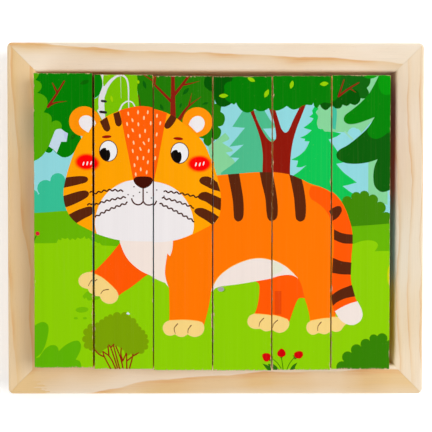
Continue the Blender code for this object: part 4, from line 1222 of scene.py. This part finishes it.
def unrolled_sheet(number, pages, side, length, edge, lines):
    """The four sides of a stick laid flat and cut into triangles along the pictures' outlines.

    Returns the points as (distance round the stick, distance along it), the triangles, and each triangle's
    ink with a fourth value that is 0 where there is none. Millimetres.
    """
    points, edges = [], []
    margin, same_place = edge / lines, 1e-5

    def add(path, closed):
        first = len(points)
        points.extend(Vector(p) for p in path)
        edges.extend((i, i + 1) for i in range(first, len(points) - 1))
        if closed:
            edges.append((len(points) - 1, first))

    folds = [i * margin for i in range(lines + 1)]
    lengthwise = [*folds, *[length - fold for fold in folds]]
    steps = np.unique(np.round([*lengthwise, *np.arange(1, length, EDGE_STEP)], 6))
    for corner in range(5):
        add([(corner * side, y) for y in steps], False)
        for fold in folds[1:]:
            for x in (corner * side - fold, corner * side + fold):
                if 0 < x < 4 * side:
                    add([(x, 0), (x, length)], False)
    for y in lengthwise:
        add([(0, y), (4 * side, y)], False)
    strips = []
    for face, page in enumerate(pages):
        shift = np.array([face * side - (number - 1) * side, 0.0])
        box = (face * side + margin, margin, (face + 1) * side - margin, length - margin)
        strips.append([])
        for outline, colour, within in page.shapes:
            moved = outline + shift
            if moved[:, 0].max() < box[0] or moved[:, 0].min() > box[2]:
                continue
            strips[face].append((moved, colour, None if within is None else within + shift))
            rim = clipped(moved, *box)
            if len(rim) > 2:
                add(rim, True)
    flat, _, triangles, *_ = delaunay_2d_cdt(points, edges, [], 0, same_place, False)
    flat, triangles = np.array([p[:] for p in flat]), np.array(triangles)
    middles = flat[triangles].mean(1)
    inks = np.zeros((len(triangles), 4))
    for face, shapes in enumerate(strips):
        mine = np.flatnonzero((middles[:, 0] >= face * side) & (middles[:, 0] < (face + 1) * side))
        at = middles[mine]
        on = (at[:, 1] > margin) & (at[:, 1] < length - margin)
        mine, at = mine[on], at[on]
        at[:, 0] = at[:, 0].clip(face * side + margin * INSET, (face + 1) * side - margin * INSET)
        for outline, colour, within in shapes:
            covered = inside(outline, at)
            if within is not None:
                covered &= inside(within, at)
            inks[mine[covered]] = (*colour, 1.0)
    return flat, triangles, inks


def wrapped(flat, low, side, length, edge):
    """The flat points folded round a stick whose lowest corner is low, and the surface's normals there."""
    face = np.minimum((flat[:, 0] / side).astype(int), 3)
    across = flat[:, 0] - face * side
    run = np.array([(1, 0), (0, -1), (-1, 0), (0, 1)])[face]  # the way round, as (x, z)
    out = np.array([(0, 1), (1, 0), (0, -1), (-1, 0)])[face]
    start = side / 2 - edge
    turn = np.where(across < edge, across / edge - 1, np.maximum(across - (side - edge), 0) / edge) * math.pi / 4
    tilt = (np.maximum(edge - flat[:, 1], 0) + np.maximum(flat[:, 1] - (length - edge), 0)) / edge * math.pi / 2
    core = (out - run) * start + run * np.clip(across - edge, 0, side - 2 * edge)[:, None]
    spread = out * np.cos(turn)[:, None] + run * np.sin(turn)[:, None]
    at = core + spread * (edge * np.cos(tilt))[:, None]
    end = np.where(flat[:, 1] < length / 2, -1, 1)
    sunk = edge - edge * np.sin(tilt)
    y = np.where(tilt > 0, np.where(end < 0, sunk, length - sunk), flat[:, 1])
    points = np.stack([at[:, 0] + side / 2, y, at[:, 1] + side / 2], 1) + low
    normals = np.stack([spread[:, 0] * np.cos(tilt), end * np.sin(tilt), spread[:, 1] * np.cos(tilt)], 1)
    return points, normals


def printed_stick(number, pages, sizes, materials):
    """One stick as a closed mesh: four printed sides, eased edges and bare ends."""
    low, high = (np.array(corner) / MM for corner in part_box(f"stick_{number}"))
    side, length = high[0] - low[0], high[1] - low[1]
    edge = sizes.edge_round / MM
    flat, triangles, inks = unrolled_sheet(number, pages, side, length, edge, sizes.edge_lines)
    points, normals = wrapped(flat, low, side, length, edge)
    _, first, same = np.unique(np.round(points, 4), axis=0, return_index=True, return_inverse=True)
    corners = same.reshape(-1)[triangles]
    whole = (corners != np.roll(corners, 1, 1)).all(1)
    corners, triangles, inks = corners[whole], triangles[whole], inks[whole]
    points, normals = points[first], normals[first]
    # the ends: a fan of triangles from the middle of each
    pairs = np.concatenate([corners[:, [0, 1]], corners[:, [1, 2]], corners[:, [2, 0]]])
    reverse = {(b, a) for a, b in pairs.tolist()}
    rims = [pair for pair in pairs.tolist() if tuple(pair) not in reverse]
    middle = low + (side / 2, 0, side / 2)
    points = np.concatenate([points, [middle, middle + (0, length, 0)]])
    normals = np.concatenate([normals, [(0, -1, 0), (0, 1, 0)]])
    caps = [(b, a, len(points) - (2 if points[a][1] < middle[1] + length / 2 else 1)) for a, b in rims]
    name = f"printed_stick_{number}"
    mesh = bpy.data.meshes.new(name)
    mesh.from_pydata(points * MM, [], np.concatenate([corners, caps]).tolist())
    for material in materials:
        mesh.materials.append(material)
    mesh.polygons.foreach_set("material_index", np.repeat([0, 1], [len(corners), len(caps)]))
    ink = mesh.attributes.new("ink", "FLOAT_COLOR", "CORNER")
    laid = np.concatenate([np.repeat(inks, 3, 0), np.zeros((len(caps) * 3, 4))])
    ink.data.foreach_set("color", laid.astype(np.float32).ravel())
    unrolled = mesh.uv_layers.new(name="unrolled")
    spots = np.concatenate([flat[triangles.ravel()] / (4 * side, length), np.full((len(caps) * 3, 2), 0.5)])
    unrolled.data.foreach_set("uv", spots.astype(np.float32).ravel())
    # each stick comes from another place in its log, so the rings on its ends have another middle
    ring_place = mesh.attributes.new("ring_place", "FLOAT_VECTOR", "POINT")
    reach = side * HEART_REACH
    heart = (middle + (reach * math.sin(number * 2.1), 0, reach * math.cos(number * 3.7))) * MM
    ring_place.data.foreach_set("vector", np.tile(heart, len(points)).astype(np.float32))
    mesh.shade_smooth()
    mesh.normals_split_custom_set_from_vertices(normals)
    mesh.update()
    return placed(name, mesh)


# ---- operators ----


class STRIP_OT_stage(bpy.types.Operator):
    """Floor, soft lights and a camera looking straight down on the puzzle"""

    bl_idname = "strip_puzzle.stage"
    bl_label = "Stage"

    def execute(self, context):
        scene = context.scene
        bm = bmesh.new()
        bmesh.ops.create_grid(bm, x_segments=8, y_segments=8, size=4.0)
        mesh = bpy.data.meshes.new("floor")
        bm.to_mesh(mesh)
        bm.free()
        mesh.materials.append(stage_floor(scene.strip_puzzle.colours))
        placed("floor", mesh)

        world = bpy.data.worlds.new("soft studio")
        world.use_nodes = True
        nodes = Nodes(world.node_tree)
        _, _, up = nodes.parts(nodes.add("ShaderNodeTexCoord", output="Generated"))
        stops = [(at, (glow, glow, glow, 1)) for at, glow in ((0.0, 1.0), (0.35, 0.47), (0.8, 0.28))]
        glow = nodes.add("ShaderNodeValToRGB", {"stops": stops}, {0: up})
        glow = nodes.mix(nodes.add("ShaderNodeLightPath", output="Is Camera Ray"), glow, (1, 1, 1))
        world.node_tree.links.new(glow.socket, world.node_tree.nodes["Background"].inputs["Color"])
        scene.world = world

        for name, place, size, power in (
            ("key", (0.58, 0.10, 0.85), 0.60, 5.4),
            ("fill", (-0.60, -0.60, 0.75), 0.90, 3.1),
            ("far", (0.10, 0.90, 0.70), 0.80, 2.45),
        ):
            lamp = bpy.data.lights.new(name, "AREA")
            lamp.shape, lamp.size, lamp.energy = "DISK", size, power
            light = bpy.data.objects.new(name, lamp)
            light.location = place
            light.rotation_euler = (-Vector(place)).to_track_quat("-Z", "Y").to_euler()
            scene.collection.objects.link(light)

        lens = bpy.data.cameras.new("camera")
        lens.lens, lens.sensor_width = 67.09, 36.0
        lens.clip_start, lens.clip_end = 0.01, 20.0
        camera = bpy.data.objects.new("camera", lens)
        camera.location = (-0.00161, 0.00683, 0.29864)
        camera.rotation_euler = (-0.02042, -0.00592, 0.00095)
        scene.collection.objects.link(camera)
        scene.camera = camera
        scene.view_settings.view_transform = "Standard"
        return {"FINISHED"}


class STRIP_OT_rails(bpy.types.Operator):
    """Four mitred pine rails with eased edges, a groove for the board and dents for the pins"""

    bl_idname = "strip_puzzle.rails"
    bl_label = "Rails"

    def execute(self, context):
        puzzle = context.scene.strip_puzzle
        tray, pins = puzzle.tray, puzzle.pins
        points = [(0.0, inset, height) for inset, height in rail_section(tray)]
        tree = mitred_rail_tree()
        dents = placed("pin_dents", grown("pin_dents", pin_points(), [], driven_pin_tree(), {
            "Head Radius": pins.head_radius + pins.dent,
            "Head Thickness": pins.head_thickness + 2 * pins.dent,
            "Shank Radius": pins.shank_radius + pins.dent / 2,
            "Length": pins.shank_length + pins.dent,
            "Point": pins.tip_length,
        }))
        dents.data.transform(Matrix.Scale(1 + 4 * pins.dent / size_of("rail_right").y, 4, (0, 1, 0)))
        low, high = (Vector(corner) for corner in cad_box)
        grain = {  # end of a year, width of a year, its late wood, boldness, honey, shift, where pale wood starts
            "near": ((-54.7, 0.0925, -0.00108), 13.0, (-0.3, 0.6), 0.85, -0.1, 3.1, -61),
            "right": ((-68.0, 0.02, 0.0), 4.2, (0.55, 0.93), 0.5, 0.12, 8.4),
            "far": ((58.6, -0.045, 0.0), 9.5, (0.5, 0.95), 0.95, 0.03, 5.7),
            # the left rail's honey of 0.5 is partly its honey streaks and partly painted warm shade, where the sticks
            # shade that rail
            "left": ((68.0, 0.07, 0.0), 6.5, (0.2, 0.93), 0.7, 0.5, 1.9),
        }
        for quarter, side in enumerate(RAILS):
            node = f"rail_{side}"
            lengthwise = quarter % 2 == 0
            turn = 0 if lengthwise else -math.pi / 2
            wood = rail_pine(f"{side} rail pine", puzzle.colours, turn, *grain[side])
            mesh = grown(node, points, [range(len(points))], tree, {
                "Length": high.x - low.x if lengthwise else high.y - low.y,
                "Corner Round": tray.corner_round,
                "Mitre Gap": tray.mitre_gap,
                "Steps": tray.round_steps,
                "Material": wood,
            })
            corner = ((low.x, low.y), (high.x, low.y), (high.x, high.y), (low.x, high.y))[quarter]
            mesh.transform(Matrix.Translation((*corner, 0)) @ Matrix.Rotation(quarter * math.pi / 2, 4, "Z"))
            rail = placed(f"pine_rail_{side}", mesh)
            finish(
                rail,
                ("BOOLEAN", {"object": dents, "solver": "EXACT", "operation": "DIFFERENCE"}),
                ("WEIGHTED_NORMAL", {"keep_sharp": True}),
            )
            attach(rail, "tray")
            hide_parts(node)
        bpy.data.objects.remove(dents)
        return {"FINISHED"}


class STRIP_OT_board(bpy.types.Operator):
    """Face veneer on the plywood board in the rails' groove"""

    bl_idname = "strip_puzzle.board"
    bl_label = "Board"

    def execute(self, context):
        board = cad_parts["base_board"]
        board.data.materials.clear()
        board.data.materials.append(board_plywood(context.scene.strip_puzzle.colours))
        return {"FINISHED"}


class STRIP_OT_pins(bpy.types.Operator):
    """Eight headed wire pins through the corners"""

    bl_idname = "strip_puzzle.pins"
    bl_label = "Pins"

    def execute(self, context):
        puzzle = context.scene.strip_puzzle
        sizes = puzzle.pins
        mesh = grown("corner_pins", pin_points(), [], driven_pin_tree(), {
            "Head Radius": sizes.head_radius,
            "Head Thickness": sizes.head_thickness,
            "Shank Radius": sizes.shank_radius,
            "Length": sizes.shank_length,
            "Point": sizes.tip_length,
            "Material": pin_steel(puzzle.colours),
        })
        mesh.shade_smooth()
        mesh.set_sharp_from_angle(angle=math.radians(40))
        pins = placed("corner_pins", mesh)
        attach(pins, "tray")
        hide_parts(*PIN_NODES)
        return {"FINISHED"}


class STRIP_OT_sticks(bpy.types.Operator):
    """Six square sticks, each printed on four sides with its strip of four pictures"""

    bl_idname = "strip_puzzle.sticks"
    bl_label = "Sticks"

    def execute(self, context):
        puzzle = context.scene.strip_puzzle
        size = size_of("stick_1") / MM
        pages = []
        for draw in (tiger_picture, bear_picture, whale_picture, elephant_picture):
            page = Page(size.x * STICK_COUNT, size.y, puzzle.colours)
            draw(page)
            pages.append(page)
        materials = (stick_print(puzzle.colours, size.x * MM, size.y * MM), stick_end_grain(puzzle.colours))
        for number in range(1, STICK_COUNT + 1):
            stick = printed_stick(number, pages, puzzle.sticks, materials)
            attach(stick, f"stick_{number}")
            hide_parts(f"stick_{number}")
        return {"FINISHED"}


OPERATORS = (STRIP_OT_stage, STRIP_OT_rails, STRIP_OT_board, STRIP_OT_pins, STRIP_OT_sticks)
GROUPS = (STRIP_PG_tray, STRIP_PG_pins, STRIP_PG_sticks, STRIP_PG_colours, STRIP_PG_puzzle)


class STRIP_PT_puzzle(bpy.types.Panel):
    """Builds the puzzle, piece by piece"""

    bl_idname = "STRIP_PT_puzzle"
    bl_label = "Strip Picture Puzzle"
    bl_space_type = "VIEW_3D"
    bl_region_type = "UI"
    bl_category = "Strip Puzzle"

    def draw(self, context):
        puzzle = context.scene.strip_puzzle
        for operator in OPERATORS:
            self.layout.operator(operator.bl_idname)
        for group in (puzzle.tray, puzzle.pins, puzzle.sticks, puzzle.colours):
            box = self.layout.box()
            for name in group.__annotations__:
                box.prop(group, name)


CLASSES = (*GROUPS, *OPERATORS, STRIP_PT_puzzle)


def register():
    for cls in CLASSES:
        bpy.utils.register_class(cls)
    bpy.types.Scene.strip_puzzle = bpy.props.PointerProperty(type=STRIP_PG_puzzle)


def unregister():
    del bpy.types.Scene.strip_puzzle
    for cls in reversed(CLASSES):
        bpy.utils.unregister_class(cls)


def main():
    register()
    bpy.ops.strip_puzzle.stage()
    bpy.ops.strip_puzzle.rails()
    bpy.ops.strip_puzzle.board()
    bpy.ops.strip_puzzle.pins()
    bpy.ops.strip_puzzle.sticks()


if __name__ == "__main__":
    main()
